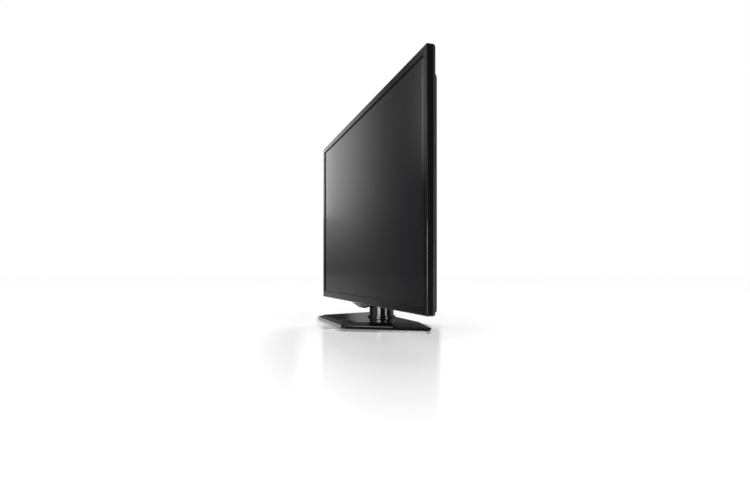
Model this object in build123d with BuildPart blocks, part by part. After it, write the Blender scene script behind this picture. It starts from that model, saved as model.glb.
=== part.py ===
"""Flat screen television on a swivel stand, in millimetres.

X runs to the viewer's right, Y away from the viewer, Z up. The origin lies on the
surface that the foot stands on, under the middle of the foot. A depth is measured
backwards from the front face of the set, a height upwards from that surface.
"""
import os

from build123d import *

os.makedirs("parts", exist_ok=True)

# Driving sizes of the set
panel_width = 973.0
panel_height = 564.0
set_depth = 78.0
panel_bottom = 56.0
bezel_side = 20.5
bezel_top = 18.0
bezel_bottom = 22.0
moulding_wall = 2.5

# Driving sizes of the foot, the neck and where the set stands over them
foot_depth = 206.0
foot_front_width = 304.0
foot_back_width = 560.0
foot_top = 15.0
foot_set_forward = 93.5
neck_depth = 69.0
neck_radius = 36.0

# Clearances and the overrun of a cut
seat_gap = 0.3
part_gap = 0.5
running_gap = 0.05
overrun = 1.0

# Places worked out from the driving sizes
front_y = foot_set_forward - foot_depth / 2
half_width = panel_width / 2
panel_top = panel_bottom + panel_height
panel_mid = panel_bottom + panel_height / 2
screen_width = panel_width - 2 * bezel_side
screen_height = panel_height - bezel_top - bezel_bottom
screen_low = panel_bottom + bezel_bottom
screen_mid = screen_low + screen_height / 2
neck_y = front_y + neck_depth


def at_depth(depth):
    """Upright plane that faces the viewer, its own y up, at a depth in the set."""
    return Plane.XZ.offset(-(front_y + depth))


def at_height(height):
    """Level plane at a height above the surface that the foot stands on."""
    return Plane.XY.offset(height)


def block(width, height, places, front, back, mode=Mode.ADD):
    """Upright blocks from one depth to another, at places given as (x, height)."""
    with BuildSketch(at_depth(back)) as outline:
        with Locations(*places):
            Rectangle(width, height)
    extrude(outline.sketch, amount=back - front, mode=mode)


def post(radius, places, front, back, mode=Mode.ADD):
    """Round posts or bores along the depth, at places given as (x, height)."""
    with BuildSketch(at_depth(back)) as outline:
        with Locations(*places):
            Circle(radius)
    extrude(outline.sketch, amount=back - front, mode=mode)


def pillar(radius, places, low, high, mode=Mode.ADD):
    """Upright round pillars or bores, at places given as (x, y)."""
    with BuildSketch(at_height(low)) as outline:
        with Locations(*places):
            Circle(radius)
    extrude(outline.sketch, amount=high - low, mode=mode)


def upright_rectangle(depth, half, low, high, corner=0):
    """Upright rectangle, rounded at its corners, between two heights."""
    with BuildSketch(at_depth(depth)) as outline:
        with Locations((0, (low + high) / 2)):
            Rectangle(2 * half, high - low)
        if corner:
            fillet(outline.vertices(), radius=corner)
    return outline.sketch


def screen_rectangle(depth, grow):
    """Upright rectangle of the screen's visible area, grown on all four sides."""
    return upright_rectangle(
        depth, screen_width / 2 + grow, screen_low - grow, screen_low + screen_height + grow
    )


def save(builder, name):
    """Label a finished piece and write it under that name."""
    builder.part.label = name
    export_step(builder.part, f"parts/{name}.step")


# Front bezel: a ring with a side band and a rounded outer edge
bezel_front = 2.8
bezel_depth = 14.0
panel_corner = 4.5
bezel_edge_round = 2.2
window_chamfer = 0.6
bezel_core_corner = panel_corner - moulding_wall

with BuildPart() as front_bezel:
    band = upright_rectangle(bezel_depth, half_width, panel_bottom, panel_top, panel_corner)
    extrude(band, amount=bezel_depth)
    fillet(front_bezel.edges().group_by(Axis.Y)[0], radius=bezel_edge_round)
    core = upright_rectangle(
        bezel_depth,
        half_width - moulding_wall,
        panel_bottom + moulding_wall,
        panel_top - moulding_wall,
        bezel_core_corner,
    )
    extrude(core, amount=bezel_depth - bezel_front, mode=Mode.SUBTRACT)
    extrude(screen_rectangle(bezel_front, 0), amount=bezel_front, mode=Mode.SUBTRACT)
    window_edges = front_bezel.edges().group_by(Axis.Y)[0]
    inner_edges = [
        edge
        for edge in window_edges
        if abs(edge.center().X) < screen_width / 2 + window_chamfer
        and abs(edge.center().Z - screen_mid) < screen_height / 2 + window_chamfer
    ]
    chamfer(inner_edges, length=window_chamfer)
save(front_bezel, "front_bezel")

# Screen: the liquid crystal cell, held by its edge behind the bezel
cell_overlap = 7.0
cell_thickness = 2.0
cell_front = bezel_front + seat_gap
cell_back = cell_front + cell_thickness

with BuildPart() as lcd_panel:
    extrude(screen_rectangle(cell_back, cell_overlap), amount=cell_thickness)
save(lcd_panel, "lcd_panel")

# Panel frame: a moulded ring with a ledge between the cell and the films
ledge_front = cell_back + seat_gap
ledge_thickness = 1.0
ledge_reach = 1.5
frame_back = bezel_depth - part_gap
frame_wall_grow = cell_overlap + part_gap

with BuildPart() as panel_frame:
    ring = upright_rectangle(
        frame_back,
        half_width - moulding_wall - part_gap,
        panel_bottom + moulding_wall + part_gap,
        panel_top - moulding_wall - part_gap,
        bezel_core_corner,
    )
    extrude(ring, amount=frame_back - cell_front)
    extrude(
        screen_rectangle(frame_back, frame_wall_grow), amount=frame_back - cell_front, mode=Mode.SUBTRACT
    )
    ledge_back = ledge_front + ledge_thickness
    extrude(screen_rectangle(ledge_back, frame_wall_grow + overrun), amount=ledge_thickness)
    extrude(
        screen_rectangle(ledge_back, ledge_reach), amount=ledge_thickness, mode=Mode.SUBTRACT
    )
save(panel_frame, "panel_frame")

# Optical films and diffuser plate: flat sheets behind the ledge
sheet_grow = 5.0
film_thickness = 1.0
film_back = ledge_back + seat_gap + film_thickness
plate_thickness = 2.0
plate_back = film_back + seat_gap + plate_thickness

with BuildPart() as optical_films:
    extrude(screen_rectangle(film_back, sheet_grow), amount=film_thickness)
save(optical_films, "optical_films")

with BuildPart() as diffuser_plate:
    extrude(screen_rectangle(plate_back, sheet_grow), amount=plate_thickness)
save(diffuser_plate, "diffuser_plate")

# Chassis: a steel pan with sloping sides, a rim, standoffs and wall-mount posts
steel = 1.0
pan_front = plate_back + seat_gap
pan_depth = 19.2
pan_back = pan_front + pan_depth
pan_rim_grow = cell_overlap
pan_mouth_grow = sheet_grow
pan_floor_grow = -38.0
standoff_radius = 4.0
standoff_height = 6.5
board_front = pan_back + standoff_height + seat_gap
board_thickness = 1.6
board_back = board_front + board_thickness
screw_hole = 1.6
wall_mount_pitch = 200.0
wall_mount_mid = screen_mid
bush_radius = 5.0
wall_post_radius = 9.0
wall_post_back = set_depth - moulding_wall - seat_gap
bush_length = 18.0

# Where the three boards sit, and their widths and heights
main_board_x = 220.0
main_board_rise = 184.0
main_board_place = (main_board_x, panel_bottom + main_board_rise)
main_board_size = (210.0, 200.0)
power_board_x = -232.0
power_board_rise = 194.0
power_board_place = (power_board_x, panel_bottom + power_board_rise)
power_board_size = (230.0, 200.0)
timing_board_drop = 130.0
timing_board_place = (0.0, panel_top - timing_board_drop)
timing_board_size = (170.0, 44.0)
board_hole_inset = 7.0


def board_holes(place, size):
    """The four fixing places of a board, near its corners."""
    reach_x = size[0] / 2 - board_hole_inset
    reach_z = size[1] / 2 - board_hole_inset
    return [
        (place[0] + side * reach_x, place[1] + level * reach_z)
        for side in (-1, 1)
        for level in (-1, 1)
    ]


all_board_holes = (
    board_holes(main_board_place, main_board_size)
    + board_holes(power_board_place, power_board_size)
    + board_holes(timing_board_place, timing_board_size)
)
wall_mount_places = [
    (side * wall_mount_pitch / 2, wall_mount_mid + level * wall_mount_pitch / 2)
    for side in (-1, 1)
    for level in (-1, 1)
]


def pan_form(wall):
    """The pan's outer form, or its hollow when a wall is given."""
    return loft(
        sections=(
            screen_rectangle(pan_front, pan_mouth_grow - wall),
            screen_rectangle(pan_back - wall, pan_floor_grow - wall),
        ),
        mode=Mode.PRIVATE,
    )


with BuildPart() as chassis:
    add(pan_form(0))
    extrude(screen_rectangle(pan_front + steel, pan_rim_grow), amount=steel)
    add(pan_form(steel), mode=Mode.SUBTRACT)
    post(standoff_radius, all_board_holes, pan_back - steel / 2, board_front - seat_gap)
    post(screw_hole, all_board_holes, pan_back, board_front, mode=Mode.SUBTRACT)
    post(wall_post_radius, wall_mount_places, pan_back - steel / 2, wall_post_back)
    post(
        bush_radius + seat_gap,
        wall_mount_places,
        wall_post_back - bush_length,
        wall_post_back,
        mode=Mode.SUBTRACT,
    )
save(chassis, "chassis")

# Light bars: strips with a row of lenses, on the pan's floor
bar_count = 3
lens_count = 8
bar_width = 14.0
bar_thickness = 1.5
bar_back = pan_back - steel - seat_gap
bar_front = bar_back - bar_thickness
bar_length = screen_width + 2 * pan_floor_grow - 2 * bar_width
bar_pitch = screen_height / bar_count
lens_pitch = bar_length / lens_count
lens_radius = 8.0
lens_sides = 8
lens_taper = 22
lens_height = 5.0
bar_levels = [screen_mid + (row - (bar_count - 1) / 2) * bar_pitch for row in range(bar_count)]
lens_places = [
    ((place - (lens_count - 1) / 2) * lens_pitch, level)
    for level in bar_levels
    for place in range(lens_count)
]

with BuildPart() as light_bars:
    block(bar_length, bar_width, [(0, level) for level in bar_levels], bar_front, bar_back)
    with BuildSketch(at_depth(bar_front)) as lens_bases:
        with Locations(*lens_places):
            RegularPolygon(lens_radius, lens_sides)
    extrude(lens_bases.sketch, amount=lens_height, taper=lens_taper)
save(light_bars, "light_bars")

# Reflector: a white sheet in the pan, with a hole for each lens
reflector_thickness = 0.6
reflector_back = bar_front - seat_gap
reflector_gap = 2.0


def reflector_form(wall):
    """The reflector's outer form, or its hollow when a wall is given."""
    return loft(
        sections=(
            screen_rectangle(pan_front + seat_gap, pan_mouth_grow - reflector_gap - wall),
            screen_rectangle(reflector_back - wall, pan_floor_grow - reflector_gap - wall),
        ),
        mode=Mode.PRIVATE,
    )


with BuildPart() as reflector:
    add(reflector_form(0))
    add(reflector_form(reflector_thickness), mode=Mode.SUBTRACT)
    with BuildSketch(at_depth(reflector_back + overrun)) as lens_holes:
        with Locations(*lens_places):
            RegularPolygon(lens_radius + part_gap, lens_sides)
    extrude(lens_holes.sketch, amount=reflector_thickness + 2 * overrun, mode=Mode.SUBTRACT)
save(reflector, "reflector")

# Main board: chips on its back, and fixing holes
chip_places = [(0.0, 30.0), (-58.0, 45.0), (52.0, -5.0), (-45.0, -10.0)]
chip_sizes = [(34.0, 34.0), (22.0, 14.0), (26.0, 18.0), (18.0, 18.0)]
chip_thickness = 2.5


def drilled_board(place, size):
    """A flat board with its four fixing holes."""
    block(size[0], size[1], [place], board_front, board_back)
    post(screw_hole, board_holes(place, size), board_front, board_back, mode=Mode.SUBTRACT)


def on_board(place, offset):
    """Place on a board, from the board's middle."""
    return (place[0] + offset[0], place[1] + offset[1])


with BuildPart() as main_board:
    drilled_board(main_board_place, main_board_size)
    for chip_place, chip_size in zip(chip_places, chip_sizes):
        spot = on_board(main_board_place, chip_place)
        block(chip_size[0], chip_size[1], [spot], board_back, board_back + chip_thickness)
save(main_board, "main_board")

# Heat sink: fins on a base, over the largest chip
sink_size = 52.0
sink_base = 3.0
fin_count = 8
fin_thickness = 1.6
fin_depth = 12.0
sink_place = on_board(main_board_place, chip_places[0])
sink_front = board_back + chip_thickness
fin_pitch = (sink_size - fin_thickness) / (fin_count - 1)

with BuildPart() as heat_sink:
    block(sink_size, sink_size, [sink_place], sink_front, sink_front + sink_base)
    fin_places = [
        (sink_place[0] + (fin - (fin_count - 1) / 2) * fin_pitch, sink_place[1])
        for fin in range(fin_count)
    ]
    fin_front = sink_front + sink_base
    block(fin_thickness, sink_size, fin_places, fin_front, fin_front + fin_depth)
save(heat_sink, "heat_sink")

# Power board: two transformers, capacitors and a finned plate
transformer_places = [(40.0, 20.0), (70.0, -55.0)]
transformer_sizes = [(54.0, 46.0), (38.0, 36.0)]
transformer_depth = 24.0
capacitor_radius = 11.0
capacitor_depth = 30.0
capacitor_places = [(-40.0, 40.0), (-40.0, 10.0), (-70.0, 25.0)]
cooler_place = (0.0, 75.0)
cooler_size = (120.0, 3.0)

with BuildPart() as power_board:
    drilled_board(power_board_place, power_board_size)
    for core_place, core_size in zip(transformer_places, transformer_sizes):
        spot = on_board(power_board_place, core_place)
        block(core_size[0], core_size[1], [spot], board_back, board_back + transformer_depth)
    capacitor_spots = [on_board(power_board_place, place) for place in capacitor_places]
    post(capacitor_radius, capacitor_spots, board_back, board_back + capacitor_depth)
    cooler_spot = on_board(power_board_place, cooler_place)
    block(cooler_size[0], cooler_size[1], [cooler_spot], board_back, board_back + transformer_depth)
save(power_board, "power_board")

# Timing board: one driver chip
driver_size = (30.0, 14.0)

with BuildPart() as timing_board:
    drilled_board(timing_board_place, timing_board_size)
    block(
        driver_size[0], driver_size[1], [timing_board_place], board_back, board_back + chip_thickness
    )
save(timing_board, "timing_board")

# Ribbon cable: flat strip from the main board up to the timing board
ribbon_width = 20.0
ribbon_thickness = 0.5
ribbon_lap = 12.0
ribbon_front = board_back + seat_gap
ribbon_back = ribbon_front + ribbon_thickness
main_board_top = main_board_place[1] + main_board_size[1] / 2
timing_board_low = timing_board_place[1] - timing_board_size[1] / 2
ribbon_low = main_board_top - ribbon_lap
ribbon_high = timing_board_low + ribbon_lap
ribbon_turn = (main_board_top + timing_board_low) / 2
ribbon_start_x = main_board_place[0] - main_board_size[0] / 4
ribbon_end_x = timing_board_place[0] + timing_board_size[0] / 4

with BuildPart() as ribbon_cable:
    with BuildSketch(at_depth(ribbon_back)) as strip:
        with BuildLine():
            Polyline(
                (ribbon_start_x - ribbon_width / 2, ribbon_low),
                (ribbon_start_x + ribbon_width / 2, ribbon_low),
                (ribbon_start_x + ribbon_width / 2, ribbon_turn + ribbon_width / 2),
                (ribbon_end_x + ribbon_width / 2, ribbon_turn + ribbon_width / 2),
                (ribbon_end_x + ribbon_width / 2, ribbon_high),
                (ribbon_end_x - ribbon_width / 2, ribbon_high),
                (ribbon_end_x - ribbon_width / 2, ribbon_turn - ribbon_width / 2),
                (ribbon_start_x - ribbon_width / 2, ribbon_turn - ribbon_width / 2),
                close=True,
            )
        make_face()
    extrude(strip.sketch, amount=ribbon_thickness)
save(ribbon_cable, "ribbon_cable")

# Jacks: one row of sockets on the main board, facing backwards
jack_row_inset = 38.0
jack_row = main_board_place[1] - main_board_size[1] / 2 + jack_row_inset
jack_front = board_back + seat_gap
jack_plate_recess = 30.0
jack_plate_front = set_depth - jack_plate_recess
jack_plate_back = jack_plate_front + steel
jack_base_back = jack_plate_front - part_gap
well_shift = 7.0
well_place = (main_board_x + well_shift, jack_row)
well_margin = 10.0
well_height = 52.0
well_size = (main_board_size[0] - 2 * well_margin, well_height)
well_left = well_place[0] - well_size[0] / 2
well_right = well_place[0] + well_size[0] / 2
antenna_inset = 16.0
optical_inset = 34.0
audio_pitch = 16.0
audio_count = 5
audio_offset = 7.0
hdmi_insets = [48.0, 32.0]
usb_inset = 14.0
antenna_x = well_right - antenna_inset
optical_x = well_right - optical_inset
audio_xs = [
    well_place[0] + audio_offset + (jack - (audio_count - 1) / 2) * audio_pitch
    for jack in range(audio_count)
]
hdmi_xs = [well_left + inset for inset in hdmi_insets]
usb_x = well_left + usb_inset

# Antenna socket: hexagonal base, a collar through the plate, a round barrel with a contact hole
antenna_radius = 4.76
antenna_collar_radius = 6.0
antenna_collar_back = jack_plate_back + 2 * seat_gap
antenna_hex_radius = 7.5
antenna_recess = 16.0
antenna_back = set_depth - antenna_recess
antenna_contact = 1.0
antenna_contact_depth = 8.0

with BuildPart() as antenna_socket:
    with BuildSketch(at_depth(jack_base_back)) as hexagon:
        with Locations((antenna_x, jack_row)):
            RegularPolygon(antenna_hex_radius, 6)
    extrude(hexagon.sketch, amount=jack_base_back - jack_front)
    post(antenna_collar_radius, [(antenna_x, jack_row)], jack_base_back, antenna_collar_back)
    post(antenna_radius, [(antenna_x, jack_row)], antenna_collar_back, antenna_back)
    post(
        antenna_contact,
        [(antenna_x, jack_row)],
        antenna_back - antenna_contact_depth,
        antenna_back,
        mode=Mode.SUBTRACT,
    )
save(antenna_socket, "antenna_socket")

# Optical socket: square body with a recessed shutter
optical_body = 10.0
optical_shutter = 6.0
optical_recess = 1.5
optical_proud = 3.0
optical_back = jack_plate_back + optical_proud

with BuildPart() as optical_socket:
    block(optical_body, optical_body, [(optical_x, jack_row)], jack_front, optical_back)
    block(
        optical_shutter,
        optical_shutter,
        [(optical_x, jack_row)],
        optical_back - optical_recess,
        optical_back,
        mode=Mode.SUBTRACT,
    )
save(optical_socket, "optical_socket")

# Audio and video jacks: five barrels on square bases
audio_base = 13.0
audio_radius = 4.15
audio_bore = 1.6
audio_recess = 20.0
audio_back = set_depth - audio_recess
audio_bore_depth = 9.0

with BuildPart() as av_jacks:
    audio_places = [(x, jack_row) for x in audio_xs]
    block(audio_base, audio_base, audio_places, jack_front, jack_base_back)
    post(audio_radius, audio_places, jack_base_back, audio_back)
    post(audio_bore, audio_places, audio_back - audio_bore_depth, audio_back, mode=Mode.SUBTRACT)
save(av_jacks, "av_jacks")

# HDMI and USB sockets: upright shells with a short tongue
socket_wall = 1.0
socket_proud = 3.5
socket_back = jack_plate_back + socket_proud
socket_depth = 10.0
tongue_thickness = 1.0
tongue_depth = 5.0
hdmi_mouth = (5.0, 14.2)
usb_mouth = (5.6, 12.8)


def shell_size(mouth):
    """Outer width and height of a socket's shell around its mouth."""
    return (mouth[0] + 2 * socket_wall, mouth[1] + 2 * socket_wall)


def socket(x, mouth):
    """Socket shell around a mouth, its floor forward, with a tongue on the floor."""
    floor = socket_back - socket_depth
    width, height = shell_size(mouth)
    block(width, height, [(x, jack_row)], jack_front, socket_back)
    block(mouth[0], mouth[1], [(x, jack_row)], floor, socket_back, mode=Mode.SUBTRACT)
    tongue_height = mouth[1] - 2 * socket_wall
    block(tongue_thickness, tongue_height, [(x, jack_row)], floor, floor + tongue_depth)


with BuildPart() as hdmi_sockets:
    for x in hdmi_xs:
        socket(x, hdmi_mouth)
save(hdmi_sockets, "hdmi_sockets")

with BuildPart() as usb_socket:
    socket(usb_x, usb_mouth)
save(usb_socket, "usb_socket")

# Jack plate: steel plate across the mouth of the well, cut out for each jack
plate_margin = 3.0

with BuildPart() as jack_plate:
    block(
        well_size[0] + 2 * plate_margin,
        well_size[1] + 2 * plate_margin,
        [well_place],
        jack_plate_front,
        jack_plate_back,
    )
    post(
        antenna_collar_radius + part_gap,
        [(antenna_x, jack_row)],
        jack_plate_front,
        jack_plate_back,
        mode=Mode.SUBTRACT,
    )
    post(
        audio_radius + part_gap, audio_places, jack_plate_front, jack_plate_back, mode=Mode.SUBTRACT
    )
    square_cuts = [(optical_x, (optical_body, optical_body)), (usb_x, shell_size(usb_mouth))]
    square_cuts += [(x, shell_size(hdmi_mouth)) for x in hdmi_xs]
    for x, outer in square_cuts:
        block(
            outer[0] + 2 * part_gap,
            outer[1] + 2 * part_gap,
            [(x, jack_row)],
            jack_plate_front,
            jack_plate_back,
            mode=Mode.SUBTRACT,
        )
save(jack_plate, "jack_plate")

# Mains inlet: two-pin socket on the power board, through the back of the cover
inlet_offset = (-30.0, -78.0)
inlet_place = on_board(power_board_place, inlet_offset)
inlet_size = (26.0, 18.0)
inlet_mouth = (16.5, 9.5)
inlet_depth = 14.0
inlet_pin_radius = 1.2
inlet_pin_pitch = 8.7
inlet_pin_length = 10.0
inlet_back = set_depth - seat_gap
inlet_flange = 4.0
flange_back = set_depth - moulding_wall - seat_gap
inlet_floor = inlet_back - inlet_depth

with BuildPart() as mains_inlet:
    block(inlet_size[0], inlet_size[1], [inlet_place], jack_front, inlet_back)
    block(
        inlet_size[0] + 2 * inlet_flange,
        inlet_size[1] + 2 * inlet_flange,
        [inlet_place],
        flange_back - moulding_wall,
        flange_back,
    )
    with BuildSketch(at_depth(inlet_back)) as mouth_outline:
        with Locations(inlet_place):
            SlotOverall(inlet_mouth[0], inlet_mouth[1])
    extrude(mouth_outline.sketch, amount=inlet_depth, mode=Mode.SUBTRACT)
    pin_places = [
        (inlet_place[0] + side * inlet_pin_pitch / 2, inlet_place[1]) for side in (-1, 1)
    ]
    post(inlet_pin_radius, pin_places, inlet_floor, inlet_floor + inlet_pin_length)
save(mains_inlet, "mains_inlet")

# Speakers: two boxes that fire downwards, with a driver in the floor and two ears
speaker_size = (180.0, 34.0)
speaker_gap = 6.5
speaker_depth = 32.0
speaker_front = pan_back + speaker_gap
speaker_back = speaker_front + speaker_depth
speaker_x = 262.0
speaker_low = panel_bottom + moulding_wall + part_gap
speaker_round = 6.0
driver_radius = 13.0
driver_recess = 4.0
dust_cap_radius = 5.0
dust_cap_height = 2.5
speaker_ear = (12.0, 10.0)
ear_thickness = 3.0
speaker_mid_y = front_y + (speaker_front + speaker_back) / 2


def speaker(side):
    """One speaker box on its side of the set."""
    x = side * speaker_x
    mid = speaker_low + speaker_size[1] / 2
    with BuildPart() as box:
        block(speaker_size[0], speaker_size[1], [(x, mid)], speaker_front, speaker_back)
        fillet(box.edges().filter_by(Axis.Y), radius=speaker_round)
        pillar(
            driver_radius,
            [(x, speaker_mid_y)],
            speaker_low,
            speaker_low + driver_recess,
            mode=Mode.SUBTRACT,
        )
        cap_low = speaker_low + driver_recess - dust_cap_height
        pillar(dust_cap_radius, [(x, speaker_mid_y)], cap_low, speaker_low + driver_recess)
        ear_reach = (speaker_size[0] + speaker_ear[0]) / 2
        ears = [(x + end * ear_reach, mid) for end in (-1, 1)]
        block(
            speaker_ear[0] + 2 * overrun,
            speaker_ear[1],
            ears,
            speaker_front,
            speaker_front + ear_thickness,
        )
        post(screw_hole, ears, speaker_front, speaker_front + ear_thickness, mode=Mode.SUBTRACT)
    return box


speaker_left = speaker(-1)
save(speaker_left, "speaker_left")
speaker_right = speaker(1)
save(speaker_right, "speaker_right")

# Rear cover: a thin sloping border around a raised housing, open to the front
cover_front = bezel_depth + seat_gap
edge_depth = 21.5
cover_edge_round = 7.0
slope_depth = 38.0
slope_side_inset = 60.0
slope_top_inset = 24.0
slope_low_inset = 20.0
housing_base_depth = 26.0
housing_base_side = 46.0
housing_base_top = 5.0
housing_side_inset = 118.0
housing_top_inset = 9.0
housing_corner_round = 15.0
housing_back_round = 8.0
screw_inset = 7.5
screw_boss = 4.6
screw_pocket = 4.2
screw_head_radius = 3.4
screw_head_height = 2.4
screw_radius = 1.4
screw_floor = 18.0
pocket_depth = 12.0
side_screw_shares = [-0.93, -0.47, 0.0, 0.47, 0.93]
screw_span = panel_height / 2 - screw_inset
cover_screw_places = [
    (side * (half_width - screw_inset), panel_mid + share * screw_span)
    for side in (-1, 1)
    for share in side_screw_shares
]

# Rear cover's vents: slots along the top, across the upper back and under the speakers
vent_width = 4.0
top_vent_count = 26
top_vent_pitch = 20.0
top_vent_length = 18.0
top_vent_depth = 60.0
back_vent_count = 26
back_vent_rows = 2
back_vent_length = 20.0
back_vent_row_pitch = 28.0
back_vent_drop = 52.0
speaker_slot_count = 8
speaker_slot_pitch = 12.0
speaker_slot_length = 22.0

# Buttons: a column of keys in a shallow recess, near one side of the housing
key_count = 8
key_pitch = 18.0
key_inset = 23.5
key_drop = 28.0
key_mid = panel_mid - key_drop
key_size = (11.0, 9.0)
key_round = 2.0
key_gap = 0.35
key_recess = 1.2
key_recess_margin = 4.0
key_travel = 0.8
key_x = half_width - housing_side_inset - key_inset
key_levels = [key_mid + ((key_count - 1) / 2 - key) * key_pitch for key in range(key_count)]

# Rear cover's bare field for a rating plate, and two grip grooves under the upper vents
plate_field_size = (120.0, 62.0)
plate_field_x = -60.0
plate_field_rise = 150.0
plate_field_round = 4.0
plate_field_depth = 0.5
grip_size = (110.0, 20.0)
grip_x = 230.0
grip_drop = 108.0
grip_depth = 1.3

# Places for the stand in the cover: slot for the upright, access holes for its screws
core_half = 20.0
core_lead = 23.9
core_front = neck_depth - core_lead
core_depth = 20.0
core_back = core_front + core_depth
stand_screw_x = 11.0
stand_screw_heights = [36.0, 74.0]
access_radius = 5.0
stand_screw_places = [
    (side * stand_screw_x, panel_bottom + rise) for side in (-1, 1) for rise in stand_screw_heights
]


def cover_form(wall):
    """The rear cover's outer form, or its hollow when a wall is given."""
    low = panel_bottom + wall
    with BuildPart() as form:
        edge = upright_rectangle(
            edge_depth - wall, half_width - wall, low, panel_top - wall, panel_corner - wall
        )
        extrude(edge, amount=edge_depth - wall - cover_front)
        fillet(form.edges().group_by(Axis.Y)[-1], radius=cover_edge_round - wall)
        loft(
            sections=(
                upright_rectangle(
                    edge_depth - wall - seat_gap,
                    half_width - cover_edge_round,
                    panel_bottom + cover_edge_round,
                    panel_top - cover_edge_round,
                ),
                upright_rectangle(
                    slope_depth - wall,
                    half_width - slope_side_inset,
                    panel_bottom + slope_low_inset,
                    panel_top - slope_top_inset,
                ),
            )
        )
    with BuildPart() as housing:
        loft(
            sections=(
                upright_rectangle(
                    housing_base_depth - wall,
                    half_width - housing_base_side - wall,
                    low,
                    panel_top - housing_base_top - wall,
                ),
                upright_rectangle(
                    set_depth - wall,
                    half_width - housing_side_inset - wall,
                    low,
                    panel_top - housing_top_inset - wall,
                ),
            )
        )
        fillet(housing.edges().group_by(Axis.Z)[-2], radius=housing_corner_round - wall)
        fillet(housing.edges().group_by(Axis.Y)[-1], radius=housing_back_round - wall)
        front_face = upright_rectangle(
            housing_base_depth - wall,
            half_width - 2 * housing_base_side,
            low,
            panel_top - 2 * housing_base_top,
        )
        extrude(front_face, amount=housing_base_depth - wall - cover_front)
    return form.part + housing.part


wall_front = set_depth - 2 * moulding_wall
well_front = jack_plate_back + seat_gap
key_places = [(key_x, level) for level in key_levels]

with BuildPart() as cover_cuts:
    post(screw_pocket, cover_screw_places, screw_floor, screw_floor + pocket_depth)
    post(screw_hole, cover_screw_places, cover_front - overrun, screw_floor + overrun)
    block(well_size[0], well_size[1], [well_place], well_front - overrun, set_depth + overrun)
    block(
        inlet_size[0] + 2 * part_gap,
        inlet_size[1] + 2 * part_gap,
        [inlet_place],
        wall_front,
        set_depth + overrun,
    )
    post(bush_radius + seat_gap, wall_mount_places, wall_front, set_depth + overrun)
    post(access_radius, stand_screw_places, wall_front, set_depth + overrun)
    block(
        key_size[0] + 2 * key_recess_margin,
        (key_count - 1) * key_pitch + key_size[1] + 2 * key_recess_margin,
        [(key_x, key_mid)],
        set_depth - key_recess,
        set_depth + overrun,
    )
    with BuildSketch(at_depth(set_depth)) as key_holes:
        with Locations(*key_places):
            RectangleRounded(
                key_size[0] + 2 * key_gap, key_size[1] + 2 * key_gap, key_round + key_gap
            )
    extrude(key_holes.sketch, amount=2 * moulding_wall)
    with BuildSketch(at_depth(set_depth + overrun)) as plate_field:
        with Locations((plate_field_x, panel_bottom + plate_field_rise)):
            RectangleRounded(plate_field_size[0], plate_field_size[1], plate_field_round)
    extrude(plate_field.sketch, amount=plate_field_depth + overrun)
    with BuildSketch(at_depth(set_depth + overrun)) as grips:
        with Locations((-grip_x, panel_top - grip_drop), (grip_x, panel_top - grip_drop)):
            SlotOverall(grip_size[0], grip_size[1])
    extrude(grips.sketch, amount=grip_depth + overrun)
    with BuildSketch(at_height(panel_top - housing_top_inset - vent_width)) as top_vents:
        with Locations((0, front_y + top_vent_depth)):
            with GridLocations(top_vent_pitch, top_vent_length, top_vent_count, 1):
                Rectangle(vent_width, top_vent_length)
    extrude(top_vents.sketch, amount=housing_top_inset)
    with BuildSketch(at_depth(set_depth + overrun)) as back_vents:
        with Locations((0, panel_top - housing_top_inset - back_vent_drop)):
            with GridLocations(
                top_vent_pitch, back_vent_row_pitch, back_vent_count, back_vent_rows
            ):
                Rectangle(vent_width, back_vent_length)
    extrude(back_vents.sketch, amount=2 * moulding_wall)
    with BuildSketch(at_height(panel_bottom - overrun)) as speaker_slots:
        with Locations((-speaker_x, speaker_mid_y), (speaker_x, speaker_mid_y)):
            with GridLocations(speaker_slot_pitch, speaker_slot_length, speaker_slot_count, 1):
                Rectangle(vent_width, speaker_slot_length)
        with Locations((0, front_y + (core_front + core_back) / 2)):
            Rectangle(2 * (core_half + part_gap), core_depth + 2 * part_gap)
    extrude(speaker_slots.sketch, amount=moulding_wall + 2 * overrun)

with BuildPart() as rear_cover:
    add(cover_form(0))
    add(cover_form(moulding_wall), mode=Mode.SUBTRACT)
    post(screw_boss, cover_screw_places, cover_front, edge_depth - moulding_wall)
    block(
        well_size[0] + 2 * moulding_wall,
        well_size[1] + 2 * moulding_wall,
        [well_place],
        well_front,
        set_depth - moulding_wall / 2,
    )
    add(cover_cuts.part, mode=Mode.SUBTRACT)
save(rear_cover, "rear_cover")

# Cover screws, board screws and the threaded bushes for a wall mount
with BuildPart() as cover_screws:
    screw_seat = screw_floor + running_gap
    post(screw_head_radius, cover_screw_places, screw_seat, screw_seat + screw_head_height)
    post(screw_radius, cover_screw_places, frame_back + seat_gap, screw_seat)
save(cover_screws, "cover_screws")

board_screw_radius = 3.0
board_screw_head = 2.0

with BuildPart() as board_screws:
    board_seat = board_back + running_gap
    post(board_screw_radius, all_board_holes, board_seat, board_seat + board_screw_head)
    post(screw_radius, all_board_holes, pan_back + steel, board_seat)
save(board_screws, "board_screws")

bush_bore = 3.0
bush_back = set_depth - seat_gap

with BuildPart() as wall_mount_bushes:
    bush_front = wall_post_back - bush_length + seat_gap
    post(bush_radius, wall_mount_places, bush_front, bush_back)
    post(bush_bore, wall_mount_places, bush_front, bush_back, mode=Mode.SUBTRACT)
save(wall_mount_bushes, "wall_mount_bushes")

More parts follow.
